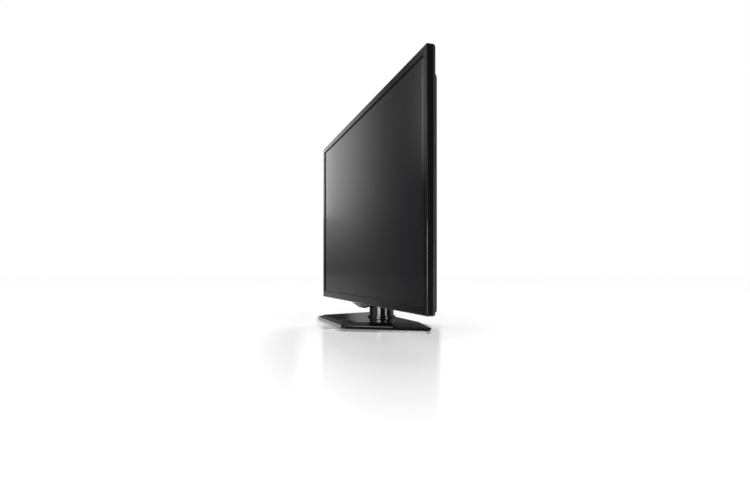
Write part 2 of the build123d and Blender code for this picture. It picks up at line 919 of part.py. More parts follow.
# Buttons: a cap through the cover, a flange behind its wall and a stem to the switch
key_flange_margin = 1.6
key_flange = 1.2
key_stem_radius = 2.0
key_stem_length = 2.8
key_proud = 0.9
key_back = set_depth - key_recess + key_proud
flange_seat = set_depth - moulding_wall - seat_gap
stem_front = flange_seat - key_flange - key_stem_length
key_names = [
    "power_button",
    "input_button",
    "menu_button",
    "ok_button",
    "volume_up_button",
    "volume_down_button",
    "channel_up_button",
    "channel_down_button",
]


def button(level):
    """One button, at its height in the column."""
    with BuildPart() as key:
        with BuildSketch(at_depth(key_back)) as cap:
            with Locations((key_x, level)):
                RectangleRounded(key_size[0], key_size[1], key_round)
        extrude(cap.sketch, amount=key_back - flange_seat + key_flange)
        block(
            key_size[0] + 2 * key_flange_margin,
            key_size[1] + 2 * key_flange_margin,
            [(key_x, level)],
            flange_seat - key_flange,
            flange_seat,
        )
        post(key_stem_radius, [(key_x, level)], stem_front, flange_seat - key_flange)
    return key


for key_name, key_level in zip(key_names, key_levels):
    save(button(key_level), key_name)

# Key board: a strip with one switch behind each stem
switch_gap = 1.0
switch_size = 6.0
switch_height = 1.6
key_board_width = 22.0
key_board_length = (key_count - 1) * key_pitch + key_board_width
switch_back = stem_front - switch_gap
key_board_back = switch_back - switch_height
key_board_front = key_board_back - board_thickness

with BuildPart() as key_board:
    block(
        key_board_width, key_board_length, [(key_x, key_mid)], key_board_front, key_board_back
    )
    block(switch_size, switch_size, key_places, key_board_back, switch_back)
save(key_board, "key_board")

# Key frame: a moulded strip with a window around each button's flange
frame_window_gap = 0.4

with BuildPart() as key_frame:
    frame_front = key_board_back + seat_gap
    block(key_board_width, key_board_length, [(key_x, key_mid)], frame_front, flange_seat)
    block(
        key_size[0] + 2 * (key_flange_margin + frame_window_gap),
        key_size[1] + 2 * (key_flange_margin + frame_window_gap),
        key_places,
        frame_front,
        flange_seat,
        mode=Mode.SUBTRACT,
    )
save(key_frame, "key_frame")

# Sensor housing: a shallow tab below the middle of the bezel, tapering downwards
tab_drop = 12.0
tab_top_half = 95.0
tab_low_half = 26.0
tab_top_front = 2.5
tab_low_front = 6.5
tab_top_back = bezel_depth - part_gap
tab_low_back = 12.0
tab_wall = 1.6
tab_low = panel_bottom - tab_drop
window_size = (16.0, 5.0)
window_x = -14.0
window_rise = 3.0
window_gap = 0.15
guide_x = 14.0
guide_radius = 1.5


def tab_section(height, half, front, back):
    """Level rectangle of the tab at a height."""
    with BuildSketch(at_height(height)) as outline:
        with Locations((0, front_y + (front + back) / 2)):
            Rectangle(2 * half, back - front)
    return outline.sketch


def tab_form(wall, lift):
    """The tab's outer form, or its hollow when a wall and its lift are given."""
    low_half = tab_low_half - wall
    top_half = tab_top_half - wall
    return loft(
        sections=(
            tab_section(tab_low + lift, low_half, tab_low_front + wall, tab_low_back - wall),
            tab_section(panel_bottom, top_half, tab_top_front + wall, tab_top_back - wall),
        ),
        mode=Mode.PRIVATE,
    )


def tab_window(gap):
    """Block through the tab's front wall for the window, smaller by a gap."""
    block(
        window_size[0] - 2 * gap,
        window_size[1] - 2 * gap,
        [(window_x, tab_low + window_rise + window_size[1] / 2)],
        0,
        (tab_top_front + tab_low_back) / 2,
        mode=Mode.SUBTRACT if not gap else Mode.INTERSECT,
    )


guide_y = front_y + (tab_low_front + tab_low_back) / 2

with BuildPart() as sensor_housing:
    add(tab_form(0, 0))
    add(tab_form(tab_wall, tab_wall), mode=Mode.SUBTRACT)
    tab_window(0)
    pillar(
        guide_radius + seat_gap,
        [(guide_x, guide_y)],
        tab_low - overrun,
        tab_low + 2 * tab_wall,
        mode=Mode.SUBTRACT,
    )
save(sensor_housing, "sensor_housing")

with BuildPart() as sensor_window:
    add(tab_form(0, 0))
    add(tab_form(tab_wall, tab_wall), mode=Mode.SUBTRACT)
    tab_window(window_gap)
save(sensor_window, "sensor_window")

# Sensor board in the tab, and the light guide under its lamp
sensor_board_size = (44.0, 7.0)
sensor_board_front = tab_low_front + tab_wall + part_gap
sensor_board_thickness = 1.2
sensor_board_low = tab_low + tab_wall + part_gap

with BuildPart() as sensor_board:
    sensor_spot = (0, sensor_board_low + sensor_board_size[1] / 2)
    sensor_board_back = sensor_board_front + sensor_board_thickness
    block(
        sensor_board_size[0],
        sensor_board_size[1],
        [sensor_spot],
        sensor_board_front,
        sensor_board_back,
    )
save(sensor_board, "sensor_board")

with BuildPart() as indicator_guide:
    guide_low = tab_low + seat_gap / 2
    pillar(guide_radius, [(guide_x, guide_y)], guide_low, sensor_board_low - seat_gap)
save(indicator_guide, "indicator_guide")

# Stand bracket: a steel channel on the pan, behind which the stand's upright is screwed
bracket_half = 46.0
bracket_flange = 14.0
bracket_steel = 2.5
bracket_low = panel_bottom + moulding_wall + part_gap
bracket_rise = 96.0
bracket_high = panel_bottom + bracket_rise
bracket_front = pan_back + seat_gap
bracket_back = core_front - seat_gap
bracket_mid = (bracket_low + bracket_high) / 2

with BuildPart() as stand_bracket:
    bracket_height = bracket_high - bracket_low
    block(
        2 * bracket_half,
        bracket_height,
        [(0, bracket_mid)],
        bracket_back - bracket_steel,
        bracket_back,
    )
    web_x = bracket_half - bracket_steel / 2
    block(
        bracket_steel,
        bracket_height,
        [(-web_x, bracket_mid), (web_x, bracket_mid)],
        bracket_front,
        bracket_back,
    )
    flange_x = bracket_half + bracket_flange / 2 - bracket_steel
    block(
        bracket_flange,
        bracket_height,
        [(-flange_x, bracket_mid), (flange_x, bracket_mid)],
        bracket_front,
        bracket_front + bracket_steel,
    )
    post(screw_hole + seat_gap, stand_screw_places, bracket_front, bracket_back, mode=Mode.SUBTRACT)
save(stand_bracket, "stand_bracket")

# Neck core: a flanged steel foot and a ribbed upright that enters the set
shaft_flange = 4.7
core_flange_radius = 31.0
core_flange = 6.0
core_low = foot_top + seat_gap + shaft_flange
core_rise = 94.0
core_high = panel_bottom + core_rise
core_web = 5.0
core_rib = 5.0
neck_bolt_circle = 22.0
neck_bolt_count = 4
neck_bolt_radius = 2.5

with BuildPart() as neck_core:
    pillar(core_flange_radius, [(0, neck_y)], core_low, core_low + core_flange)
    upright_low = core_low + core_flange / 2
    upright_mid = (upright_low + core_high) / 2
    upright_height = core_high - upright_low
    block(2 * core_half, upright_height, [(0, upright_mid)], core_front, core_front + core_web)
    rib_x = core_half - core_rib / 2
    block(
        core_rib,
        upright_height,
        [(-rib_x, upright_mid), (rib_x, upright_mid)],
        core_front,
        core_back,
    )
    post(screw_hole, stand_screw_places, core_front, core_front + core_web, mode=Mode.SUBTRACT)
save(neck_core, "neck_core")

with BuildPart() as stand_screws:
    stand_seat = core_front + core_web + running_gap
    post(screw_head_radius, stand_screw_places, stand_seat, stand_seat + screw_head_height)
    post(screw_radius, stand_screw_places, bracket_front + seat_gap, stand_seat)
save(stand_screws, "stand_screws")

# Neck cover: a round glossy column with a flared foot, slotted on top for the upright
neck_low = foot_top + seat_gap
neck_high = panel_bottom - seat_gap
neck_wall = 2.4
neck_flare = 1.6
neck_flare_height = 9.0
neck_shoulder = 5.0

with BuildPart() as neck_cover:
    with BuildSketch(Plane.XZ.offset(-neck_y)) as neck_profile:
        with BuildLine():
            flare_top = (neck_radius, neck_low + neck_flare_height)
            foot_edge = (neck_radius + neck_flare, neck_low)
            Line((0, neck_low), foot_edge)
            Spline(foot_edge, flare_top, tangents=[(-1, 2), (0, 1)])
            Line(flare_top, (neck_radius, neck_high - neck_shoulder))
            RadiusArc(
                (neck_radius, neck_high - neck_shoulder),
                (neck_radius - neck_shoulder, neck_high),
                -neck_shoulder,
            )
            Line((neck_radius - neck_shoulder, neck_high), (0, neck_high))
            Line((0, neck_high), (0, neck_low))
        make_face()
    revolve(neck_profile.sketch, axis=Axis((0, neck_y, 0), (0, 0, 1)))
    pillar(
        neck_radius - neck_wall,
        [(0, neck_y)],
        neck_low,
        neck_high - neck_shoulder - neck_wall,
        mode=Mode.SUBTRACT,
    )
    with BuildSketch(at_height(neck_high)) as upright_slot:
        with Locations((0, front_y + (core_front + core_back) / 2)):
            Rectangle(2 * (core_half + part_gap), core_depth + 2 * part_gap)
    extrude(upright_slot.sketch, amount=-2 * (neck_shoulder + neck_wall), mode=Mode.SUBTRACT)
save(neck_cover, "neck_cover")

# Swivel: a flanged hollow shaft through the foot, held below by a washer and screws
shaft_radius = 18.0
shaft_bore = 10.0
shaft_flange_radius = 30.0
bearing_thickness = 2.0
foot_wall = 2.5
foot_ceiling = foot_top - foot_wall
bearing_high = foot_ceiling - seat_gap
bearing_low = bearing_high - bearing_thickness
washer_high = bearing_low - seat_gap
washer_thickness = 2.0
washer_low = washer_high - washer_thickness
washer_radius = 30.0
washer_screw_circle = 14.0
washer_screw_count = 3
washer_screw_length = 6.0
flat_head_height = 1.9


def circle_places(radius, count):
    """Places evenly round the neck's axis."""
    return [
        (spot.position.X, neck_y + spot.position.Y)
        for spot in PolarLocations(radius, count).local_locations
    ]


washer_screw_places = circle_places(washer_screw_circle, washer_screw_count)

with BuildPart() as swivel_shaft:
    pillar(shaft_flange_radius, [(0, neck_y)], neck_low, neck_low + shaft_flange)
    pillar(shaft_radius, [(0, neck_y)], washer_high, neck_low)
    pillar(shaft_bore, [(0, neck_y)], washer_high, neck_low + shaft_flange, mode=Mode.SUBTRACT)
    pillar(
        screw_hole,
        washer_screw_places,
        washer_high,
        washer_high + washer_screw_length,
        mode=Mode.SUBTRACT,
    )
save(swivel_shaft, "swivel_shaft")

with BuildPart() as retaining_washer:
    pillar(washer_radius, [(0, neck_y)], washer_low, washer_high)
    pillar(shaft_bore, [(0, neck_y)], washer_low, washer_high, mode=Mode.SUBTRACT)
    pillar(screw_hole, washer_screw_places, washer_low, washer_high, mode=Mode.SUBTRACT)
save(retaining_washer, "retaining_washer")

with BuildPart() as washer_screws:
    head_high = washer_low - running_gap
    pillar(screw_head_radius, washer_screw_places, head_high - flat_head_height, head_high)
    pillar(
        screw_radius, washer_screw_places, head_high, washer_high + washer_screw_length - part_gap
    )
save(washer_screws, "washer_screws")

# Collar: a fixed ring on the foot, around the turning neck
collar_height = 5.0
collar_round = 1.5
collar_wall = 3.6
collar_bore = neck_radius + neck_flare + seat_gap

with BuildPart() as swivel_ring:
    pillar(collar_bore + collar_wall, [(0, neck_y)], foot_top, foot_top + collar_height)
    fillet(swivel_ring.edges().group_by(Axis.Z)[-1], radius=collar_round)
    pillar(collar_bore, [(0, neck_y)], foot_top, foot_top + collar_height, mode=Mode.SUBTRACT)
save(swivel_ring, "swivel_ring")

# Bearing plate under the foot's top wall, with its four screws
bearing_size = (116.0, 72.0)
bearing_screw_reach = (47.0, 26.0)
bearing_screw_places = [
    (side * bearing_screw_reach[0], neck_y + end * bearing_screw_reach[1])
    for side in (-1, 1)
    for end in (-1, 1)
]
bearing_screw_bite = 1.6

with BuildPart() as bearing_plate:
    with BuildSketch(at_height(bearing_low)) as bearing_outline:
        with Locations((0, neck_y)):
            RectangleRounded(bearing_size[0], bearing_size[1], 2 * screw_head_radius)
    extrude(bearing_outline.sketch, amount=bearing_thickness)
    pillar(
        shaft_radius + running_gap, [(0, neck_y)], bearing_low, bearing_high, mode=Mode.SUBTRACT
    )
    pillar(screw_hole, bearing_screw_places, bearing_low, bearing_high, mode=Mode.SUBTRACT)
save(bearing_plate, "bearing_plate")

with BuildPart() as bearing_screws:
    bearing_seat = bearing_low - running_gap
    pillar(screw_head_radius, bearing_screw_places, bearing_seat - flat_head_height, bearing_seat)
    pillar(
        screw_radius,
        bearing_screw_places,
        bearing_seat,
        foot_ceiling + bearing_screw_bite - running_gap,
    )
save(bearing_screws, "bearing_screws")

# Foot: half widths at its front and back, its edges and corner rounds, at three levels
foot_rim = 7.0
foot_skirt = 1.2
rim_front_round = 20.0
rim_back_round = 11.0
rim_shoulder = 1.4
rim_shoulder_inset = 1.0
skirt_inset = 1.2
bevel_front = 14.5
bevel_back = 1.5
top_front_half = 133.0
top_back_half = 203.0
top_front_round = 18.0
top_back_round = 16.0
foot_front = -foot_depth / 2
foot_back = foot_depth / 2


def foot_outline(height, front_half, back_half, front, back, front_round, back_round):
    """Level outline of the foot: narrow in front, wide behind, rounded corners."""
    with BuildSketch(at_height(height)) as outline:
        with BuildLine():
            Polyline(
                (-front_half, front),
                (front_half, front),
                (back_half, back),
                (-back_half, back),
                close=True,
            )
        make_face()
        fillet(outline.vertices().group_by(Axis.Y)[0], radius=front_round)
        fillet(outline.vertices().group_by(Axis.Y)[-1], radius=back_round)
    return outline.sketch


def skirt_outline(height, inset):
    """Outline of the foot's lower edge, moved inwards by an inset."""
    shift = skirt_inset + inset
    return foot_outline(
        height,
        foot_front_width / 2 - shift,
        foot_back_width / 2 - shift,
        foot_front + shift,
        foot_back - shift,
        rim_front_round - inset,
        rim_back_round - inset,
    )


def rim_outline(height, inset):
    """Outline of the foot's widest edge, moved inwards by an inset."""
    return foot_outline(
        height,
        foot_front_width / 2 - inset,
        foot_back_width / 2 - inset,
        foot_front + inset,
        foot_back - inset,
        rim_front_round - inset,
        rim_back_round - inset,
    )


def top_outline(height, inset):
    """Outline of the foot's flat top, moved inwards by an inset."""
    return foot_outline(
        height,
        top_front_half - inset,
        top_back_half - inset,
        foot_front + bevel_front + inset,
        foot_back - bevel_back - inset,
        top_front_round - inset,
        top_back_round - inset,
    )


foot_boss_radius = 4.0
foot_boss_places = [
    (side * x_share * foot_back_width / 2, y_share * foot_depth / 2)
    for side in (-1, 1)
    for x_share, y_share in ((0.36, -0.66), (0.58, 0.68), (0.5, 0.0))
]
foot_plate_low = 2.2
foot_plate_thickness = 3.0
foot_plate_high = foot_plate_low + foot_plate_thickness

with BuildPart() as foot_cover:
    loft(sections=(skirt_outline(foot_skirt, 0), rim_outline(foot_rim, 0)))
    shoulder_height = foot_rim + rim_shoulder
    shoulder = rim_outline(shoulder_height, rim_shoulder_inset)
    loft(sections=(rim_outline(foot_rim, 0), shoulder))
    loft(sections=(shoulder, top_outline(foot_top, 0)))
    hollow_height = foot_plate_high + seat_gap - foot_skirt
    extrude(skirt_outline(foot_skirt, foot_wall), amount=hollow_height, mode=Mode.SUBTRACT)
    loft(
        sections=(
            skirt_outline(foot_skirt + hollow_height, foot_wall),
            top_outline(foot_ceiling, foot_wall),
        ),
        mode=Mode.SUBTRACT,
    )
    pillar(foot_boss_radius, foot_boss_places, foot_plate_high + seat_gap, foot_ceiling)
    pillar(
        screw_hole, foot_boss_places, foot_plate_high + seat_gap, foot_ceiling, mode=Mode.SUBTRACT
    )
    pillar(shaft_radius + running_gap, [(0, neck_y)], foot_rim, foot_top, mode=Mode.SUBTRACT)
    pillar(
        screw_hole,
        bearing_screw_places,
        foot_ceiling,
        foot_ceiling + bearing_screw_bite,
        mode=Mode.SUBTRACT,
    )
save(foot_cover, "foot_cover")

# Foot plate: a steel weight inside the skirt, open under the swivel
plate_hole_radius = 36.0

with BuildPart() as foot_plate:
    plate_inset = foot_wall + seat_gap + part_gap
    extrude(skirt_outline(foot_plate_low, plate_inset), amount=foot_plate_thickness)
    pillar(
        plate_hole_radius, [(0, neck_y)], foot_plate_low, foot_plate_high, mode=Mode.SUBTRACT
    )
    pillar(screw_hole, foot_boss_places, foot_plate_low, foot_plate_high, mode=Mode.SUBTRACT)
save(foot_plate, "foot_plate")

foot_screw_head = 1.2

with BuildPart() as foot_screws:
    foot_screw_seat = foot_plate_low - running_gap
    pillar(
        screw_head_radius, foot_boss_places, foot_screw_seat - foot_screw_head, foot_screw_seat
    )
    pillar(screw_radius, foot_boss_places, foot_screw_seat, foot_ceiling - part_gap)
save(foot_screws, "foot_screws")

# Rubber feet: six round pads under the plate
pad_radius = 9.0
pad_places = [
    (side * x_share * foot_back_width / 2, y_share * foot_depth / 2)
    for side in (-1, 1)
    for x_share, y_share in ((0.44, -0.76), (0.66, 0.0), (0.84, 0.76))
]

with BuildPart() as rubber_feet:
    pillar(pad_radius, pad_places, 0, foot_plate_low)
save(rubber_feet, "rubber_feet")
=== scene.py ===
"""Looks, stage and camera for the flat screen television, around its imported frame.

Every length is in metres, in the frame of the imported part: X to the viewer's right,
Y away from the viewer, Z up from the surface that the foot stands on.
"""
import math

import bmesh
import bpy
from mathutils import Euler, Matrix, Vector


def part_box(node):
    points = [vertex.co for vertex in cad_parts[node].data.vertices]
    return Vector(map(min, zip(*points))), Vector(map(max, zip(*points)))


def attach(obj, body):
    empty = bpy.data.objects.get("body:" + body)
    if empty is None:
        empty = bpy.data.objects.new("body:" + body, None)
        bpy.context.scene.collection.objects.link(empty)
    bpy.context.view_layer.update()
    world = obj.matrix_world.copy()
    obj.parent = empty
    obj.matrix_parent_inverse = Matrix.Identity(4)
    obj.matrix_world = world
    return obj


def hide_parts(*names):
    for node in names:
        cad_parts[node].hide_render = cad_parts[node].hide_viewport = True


bl_info = {
    "name": "Flat screen television",
    "version": (1, 0, 0),
    "blender": (4, 5, 0),
    "location": "View3D > Sidebar > Television",
    "description": "Dresses the packed television with its finishes, screws and stage",
    "category": "Object",
}

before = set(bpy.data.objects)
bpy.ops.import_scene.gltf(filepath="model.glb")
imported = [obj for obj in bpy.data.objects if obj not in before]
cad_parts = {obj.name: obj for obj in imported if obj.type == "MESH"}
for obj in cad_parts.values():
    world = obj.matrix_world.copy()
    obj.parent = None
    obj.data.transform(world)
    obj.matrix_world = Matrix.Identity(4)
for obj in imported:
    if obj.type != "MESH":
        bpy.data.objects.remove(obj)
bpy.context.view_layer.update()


# Shader and geometry trees


class Signal:
    """A value on its way through a node tree; arithmetic on it adds Math nodes."""

    def __init__(self, graph, socket):
        self.graph = graph
        self.socket = socket

    def __add__(self, other):
        return self.graph.calculate("ADD", self, other)

    def __radd__(self, other):
        return self.graph.calculate("ADD", other, self)

    def __sub__(self, other):
        return self.graph.calculate("SUBTRACT", self, other)

    def __rsub__(self, other):
        return self.graph.calculate("SUBTRACT", other, self)

    def __mul__(self, other):
        return self.graph.calculate("MULTIPLY", self, other)

    def __truediv__(self, other):
        return self.graph.calculate("DIVIDE", self, other)

    def __pow__(self, other):
        return self.graph.calculate("POWER", self, other)

    def __gt__(self, other):
        return self.graph.calculate("GREATER_THAN", self, other)

    def __lt__(self, other):
        return self.graph.calculate("LESS_THAN", self, other)


class Graph:
    """A node tree that is built one node at a time."""

    def __init__(self, tree):
        self.tree = tree

    def node(self, kind, settings=None, inputs=None, output=0):
        """Adds a node, sets its settings, feeds its inputs and returns one output."""
        made = self.tree.nodes.new(kind)
        for name, value in (settings or {}).items():
            setattr(made, name, value)
        for key, value in (inputs or {}).items():
            self.feed(made.inputs[key], value)
        return Signal(self, made.outputs[output])

    def feed(self, socket, value):
        """Links a signal to a socket, or sets the socket's own value."""
        if isinstance(value, Signal):
            self.tree.links.new(value.socket, socket)
        else:
            socket.default_value = value

    def calculate(self, operation, *values):
        """The result of a Math node on one or two values."""
        return self.node("ShaderNodeMath", {"operation": operation}, dict(enumerate(values)))

    def between(self, signal, start, end, bend="LINEAR"):
        """A value moved to nothing at a start and one at an end, and held beyond both."""
        return self.node(
            "ShaderNodeMapRange",
            {"clamp": True, "interpolation_type": bend},
            {"Value": signal, "From Min": start, "From Max": end},
        )

    def band(self, signal, *edges):
        """The product of soft steps, each from where it starts to where it ends."""
        steps = [self.between(signal, start, end, "SMOOTHSTEP") for start, end in edges]
        whole = steps[0]
        for step in steps[1:]:
            whole = whole * step
        return whole


class Finish(Graph):
    """A material: its nodes, and the shader that they feed."""

    # Sockets of the Mix node in its colour mode, which have no names of their own
    MIX_SHARE, MIX_LOW, MIX_HIGH, MIX_RESULT = 0, 6, 7, 2

    def __init__(self, name, **constants):
        self.material = bpy.data.materials.new(name)
        self.material.use_nodes = True
        super().__init__(self.material.node_tree)
        self.shader = self.tree.nodes["Principled BSDF"]
        self.place = self.node("ShaderNodeTexCoord", output="Object")
        for key, value in constants.items():
            self.shader.inputs[key.replace("_", " ")].default_value = value

    def set(self, **inputs):
        """Feeds the shader's inputs, whose spaces are written as underscores."""
        for key, value in inputs.items():
            self.feed(self.shader.inputs[key.replace("_", " ")], value)

    def noise(self, size, detail=2.0, stretch=(1.0, 1.0, 1.0)):
        """Soft noise from 0 to 1, of a feature size, drawn out where stretch is below one."""
        spread = self.node(
            "ShaderNodeMapping", {"vector_type": "POINT"}, {"Vector": self.place, "Scale": stretch}
        )
        return self.node(
            "ShaderNodeTexNoise",
            {"noise_dimensions": "3D"},
            {"Vector": spread, "Scale": 1.0 / size, "Detail": detail},
        )

    def cells(self, size, feature="F1", distance="EUCLIDEAN", output="Distance"):
        """Cell pattern of a size: each cell's colour, or the distance from its middle."""
        return self.node(
            "ShaderNodeTexVoronoi",
            {"feature": feature, "distance": distance},
            {"Vector": self.place, "Scale": 1.0 / size},
            output,
        )

    def axis(self, letter):
        """How far a point lies along X, Y or Z."""
        return self.node("ShaderNodeSeparateXYZ", {}, {0: self.place}, letter)

    def stripes(self, along, pitch, share):
        """One on a share of each pitch along a direction, else nothing."""
        return self.calculate("FRACT", along / pitch) < share

    def mixed(self, share, low, high):
        """A colour between two, by a share."""
        return self.node(
            "ShaderNodeMix",
            {"data_type": "RGBA", "clamp_factor": True},
            {self.MIX_SHARE: share, self.MIX_LOW: low, self.MIX_HIGH: high},
            self.MIX_RESULT,
        )

    def relief(self, height, depth):
        """Surface relief of a depth in metres, from a height between 0 and 1."""
        self.set(Normal=self.node("ShaderNodeBump", {}, {"Height": height, "Distance": depth}))


class Pattern(Graph):
    """A Geometry Nodes tree with named inputs, grown on sets of points."""

    def __init__(self, name, inputs):
        tree = bpy.data.node_groups.new(name, "GeometryNodeTree")
        super().__init__(tree)
        tree.interface.new_socket("Geometry", in_out="INPUT", socket_type="NodeSocketGeometry")
        for label, kind in inputs.items():
            tree.interface.new_socket(label, in_out="INPUT", socket_type=kind)
        tree.interface.new_socket("Geometry", in_out="OUTPUT", socket_type="NodeSocketGeometry")
        self.entry = tree.nodes.new("NodeGroupInput")

    def given(self, label):
        """One of the tree's named inputs."""
        return Signal(self, self.entry.outputs[label])

    def stand(self, shape):
        """Stands a shape on each point, turned and in the given material, and ends the tree."""
        turn = self.node("FunctionNodeEulerToRotation", {}, {0: self.given("Turn")})
        placed = self.node(
            "GeometryNodeInstanceOnPoints",
            {},
            {"Points": self.given("Geometry"), "Instance": shape, "Rotation": turn},
        )
        solid = self.node("GeometryNodeRealizeInstances", {}, {0: placed})
        painted = self.node(
            "GeometryNodeSetMaterial", {}, {"Geometry": solid, "Material": self.given("Material")}
        )
        exit_node = self.tree.nodes.new("NodeGroupOutput")
        self.feed(exit_node.inputs[0], painted)

    def grow(self, name, points, values):
        """Runs the tree on a set of points and returns the result as a plain mesh."""
        base = bpy.data.meshes.new(name)
        base.from_pydata(points, [], [])
        holder = added(name, base)
        modifier = holder.modifiers.new("Pattern", "NODES")
        modifier.node_group = self.tree
        for item in self.tree.interface.items_tree:
            if item.item_type == "SOCKET" and item.in_out == "INPUT" and item.name in values:
                modifier[item.identifier] = values[item.name]
        apply_modifiers(holder)
        holder.data.name = name
        return holder


def added(name, data):
    """A new object, linked to the scene."""
    made = bpy.data.objects.new(name, data)
    bpy.context.scene.collection.objects.link(made)
    return made


def apply_modifiers(holder):
    """Gives an object the mesh that its modifiers make, and takes them off."""
    view = bpy.context.evaluated_depsgraph_get()
    view.update()
    result = bpy.data.meshes.new_from_object(holder.evaluated_get(view), depsgraph=view)
    holder.modifiers.clear()
    holder.data = result


# Finishes: feature sizes and relief depths are in metres, and the numbers that a
# pattern is multiplied by are its weights in the colour or the roughness


def grey(level, tint=(1.0, 1.0, 1.0)):
    """A neutral colour of a level, with a slight tint."""
    return (level * tint[0], level * tint[1], level * tint[2], 1.0)


def shaded(colour, factor):
    """A colour made darker or lighter by a factor."""
    return (*(factor * part for part in colour[:3]), 1.0)


def moulded_gloss(name, colour, roughness, grain, shine, matt_lip=False):
    """Glossy moulded plastic: faint flow in its gloss, dust and hairline scratches."""
    finish = Finish(name, IOR=1.5, Specular_IOR_Level=shine)
    flow = finish.noise(size=0.09, detail=3.0)
    speck = finish.between(finish.noise(size=0.0016, detail=1.0), start=0.72, end=0.8)
    hair = finish.noise(size=0.006, stretch=(0.06, 1.0, 1.0))
    scratch = finish.between(hair, start=0.66, end=0.7)
    dullness = roughness + flow * 0.03 + speck * 0.12 + scratch * 0.04
    if matt_lip:
        dullness = dullness + inner_lip(finish) * 0.6
    dusty = grey(0.09)
    finish.set(Base_Color=finish.mixed(speck * 0.25, colour, dusty), Roughness=dullness)
    finish.relief(finish.noise(size=0.004) * 0.5 + flow * 0.5, grain)
    return finish.material


def inner_lip(finish):
    """One along the bezel's inner edge, which is moulded matt, nothing elsewhere."""
    low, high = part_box("lcd_panel")
    overlap = 0.007
    matt_width = 0.0012
    fade_width = 0.0004
    aside = finish.calculate("ABSOLUTE", finish.axis("X")) - (high.x - overlap)
    upright = finish.calculate("ABSOLUTE", finish.axis("Z") - (low.z + high.z) / 2)
    upright = upright - ((high.z - low.z) / 2 - overlap)
    outwards = finish.calculate("MAXIMUM", aside, upright)
    return finish.between(outwards, matt_width + fade_width, matt_width)


def moulded_texture(name, colour, roughness, size, depth):
    """Spark-eroded plastic: a fine pebbled grain, a little glossier in its valleys."""
    finish = Finish(name, IOR=1.45)
    pebble = finish.cells(size, "SMOOTH_F1")
    fine = finish.noise(size * 0.4)
    broad = finish.noise(size=0.12, detail=3.0)
    mottle = finish.between(broad * 0.5 + fine * 0.5, start=0.35, end=0.65)
    finish.set(
        Base_Color=finish.mixed(mottle, shaded(colour, 0.8), shaded(colour, 1.25)),
        Roughness=roughness + broad * 0.08 - pebble * 0.1,
    )
    finish.relief(1.0 - pebble * 0.9 + fine * 0.35, depth)
    return finish.material


def sheet_steel(name, colour, roughness, brushed):
    """Plated steel or aluminium sheet: rolled streaks and a mottled bloom."""
    finish = Finish(name, Metallic=1.0)
    streak = finish.noise(size=0.0012, detail=3.0, stretch=(0.03, 1.0, 1.0))
    bloom = finish.cells(size=0.009, feature="SMOOTH_F1")
    mottle = streak * brushed + bloom * (1.0 - brushed)
    finish.set(
        Base_Color=finish.mixed(mottle, shaded(colour, 0.72), colour),
        Roughness=roughness + streak * 0.12 + bloom * 0.1,
    )
    finish.relief(streak, depth=0.00004)
    return finish.material


def coated_steel(name, colour, roughness):
    """Powder-coated steel: an orange-peel skin."""
    finish = Finish(name, IOR=1.5)
    peel = finish.noise(size=0.0022)
    broad = finish.noise(size=0.05)
    finish.set(
        Base_Color=finish.mixed(broad, colour, shaded(colour, 1.5)),
        Roughness=roughness + peel * 0.12,
    )
    finish.relief(peel, depth=0.00012)
    return finish.material


def circuit_board(name):
    """Lacquered circuit board: tracks under green lacquer, and bare solder pads."""
    finish = Finish(name, IOR=1.5)
    deep_green = (0.008, 0.07, 0.03, 1.0)
    green = (0.012, 0.1, 0.045, 1.0)
    track_green = (0.03, 0.19, 0.08, 1.0)
    solder = (0.6, 0.6, 0.58, 1.0)
    pad_reach = 0.16
    patches = finish.cells(size=1.0 / 55.0, distance="MANHATTAN", output="Color")
    choice = finish.node("ShaderNodeSeparateColor", {}, {0: patches})
    upright, level = (
        finish.stripes(finish.axis(letter), pitch=0.0021, share=0.42) for letter in "XZ"
    )
    track = upright * (choice > 0.5) + level * (choice < 0.5)
    pads = finish.cells(size=0.006) < pad_reach
    lacquer = finish.mixed(finish.noise(size=0.03), deep_green, green)
    tracked = finish.mixed(track * 0.7, lacquer, track_green)
    finish.set(
        Base_Color=finish.mixed(pads, tracked, solder),
        Metallic=pads,
        Roughness=0.32 + pads * 0.1,
    )
    finish.relief(track + pads, depth=0.00005)
    return finish.material


def screen_cell(name, colour):
    """Anti-glare polariser over a dark cell: soft haze, black side borders, no picture."""
    finish = Finish(name, IOR=1.5, Specular_IOR_Level=0.25, Coat_Roughness=0.06)
    border_width = 0.021
    border_fade = 0.0005
    haze = finish.noise(size=0.5)
    sparkle = finish.noise(size=0.0007, detail=1.0)
    picture_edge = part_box("lcd_panel")[1].x - border_width
    aside = finish.calculate("ABSOLUTE", finish.axis("X"))
    inside = finish.between(aside, picture_edge + border_fade, picture_edge)
    picture = finish.mixed(haze, colour, shaded(colour, 1.2))
    finish.set(
        Base_Color=finish.mixed(inside, grey(0.004), picture),
        Roughness=0.09 + haze * 0.03 + sparkle * 0.03,
        Coat_Weight=1.0 - inside,
    )
    finish.relief(sparkle, depth=0.000004)
    return finish.material


def optical_sheet(name, colour, roughness):
    """White sheet, moulding or ribbon with fine lines along it."""
    finish = Finish(name, IOR=1.49, Roughness=roughness)
    lines = finish.stripes(finish.axis("Z"), pitch=0.0012, share=0.5)
    finish.set(Base_Color=finish.mixed(finish.noise(size=0.06), grey(0.8), colour))
    finish.relief(lines, depth=0.00004)
    return finish.material


def soft_rubber(name, colour):
    """Soft black rubber: matt, with a fine grain and dust."""
    finish = Finish(name, IOR=1.5)
    grain = finish.noise(size=0.0009, detail=3.0)
    dust = finish.noise(size=0.01, detail=3.0)
    finish.set(Base_Color=finish.mixed(dust, colour, grey(0.06)), Roughness=0.75 + grain * 0.2)
    finish.relief(grain, depth=0.00015)
    return finish.material


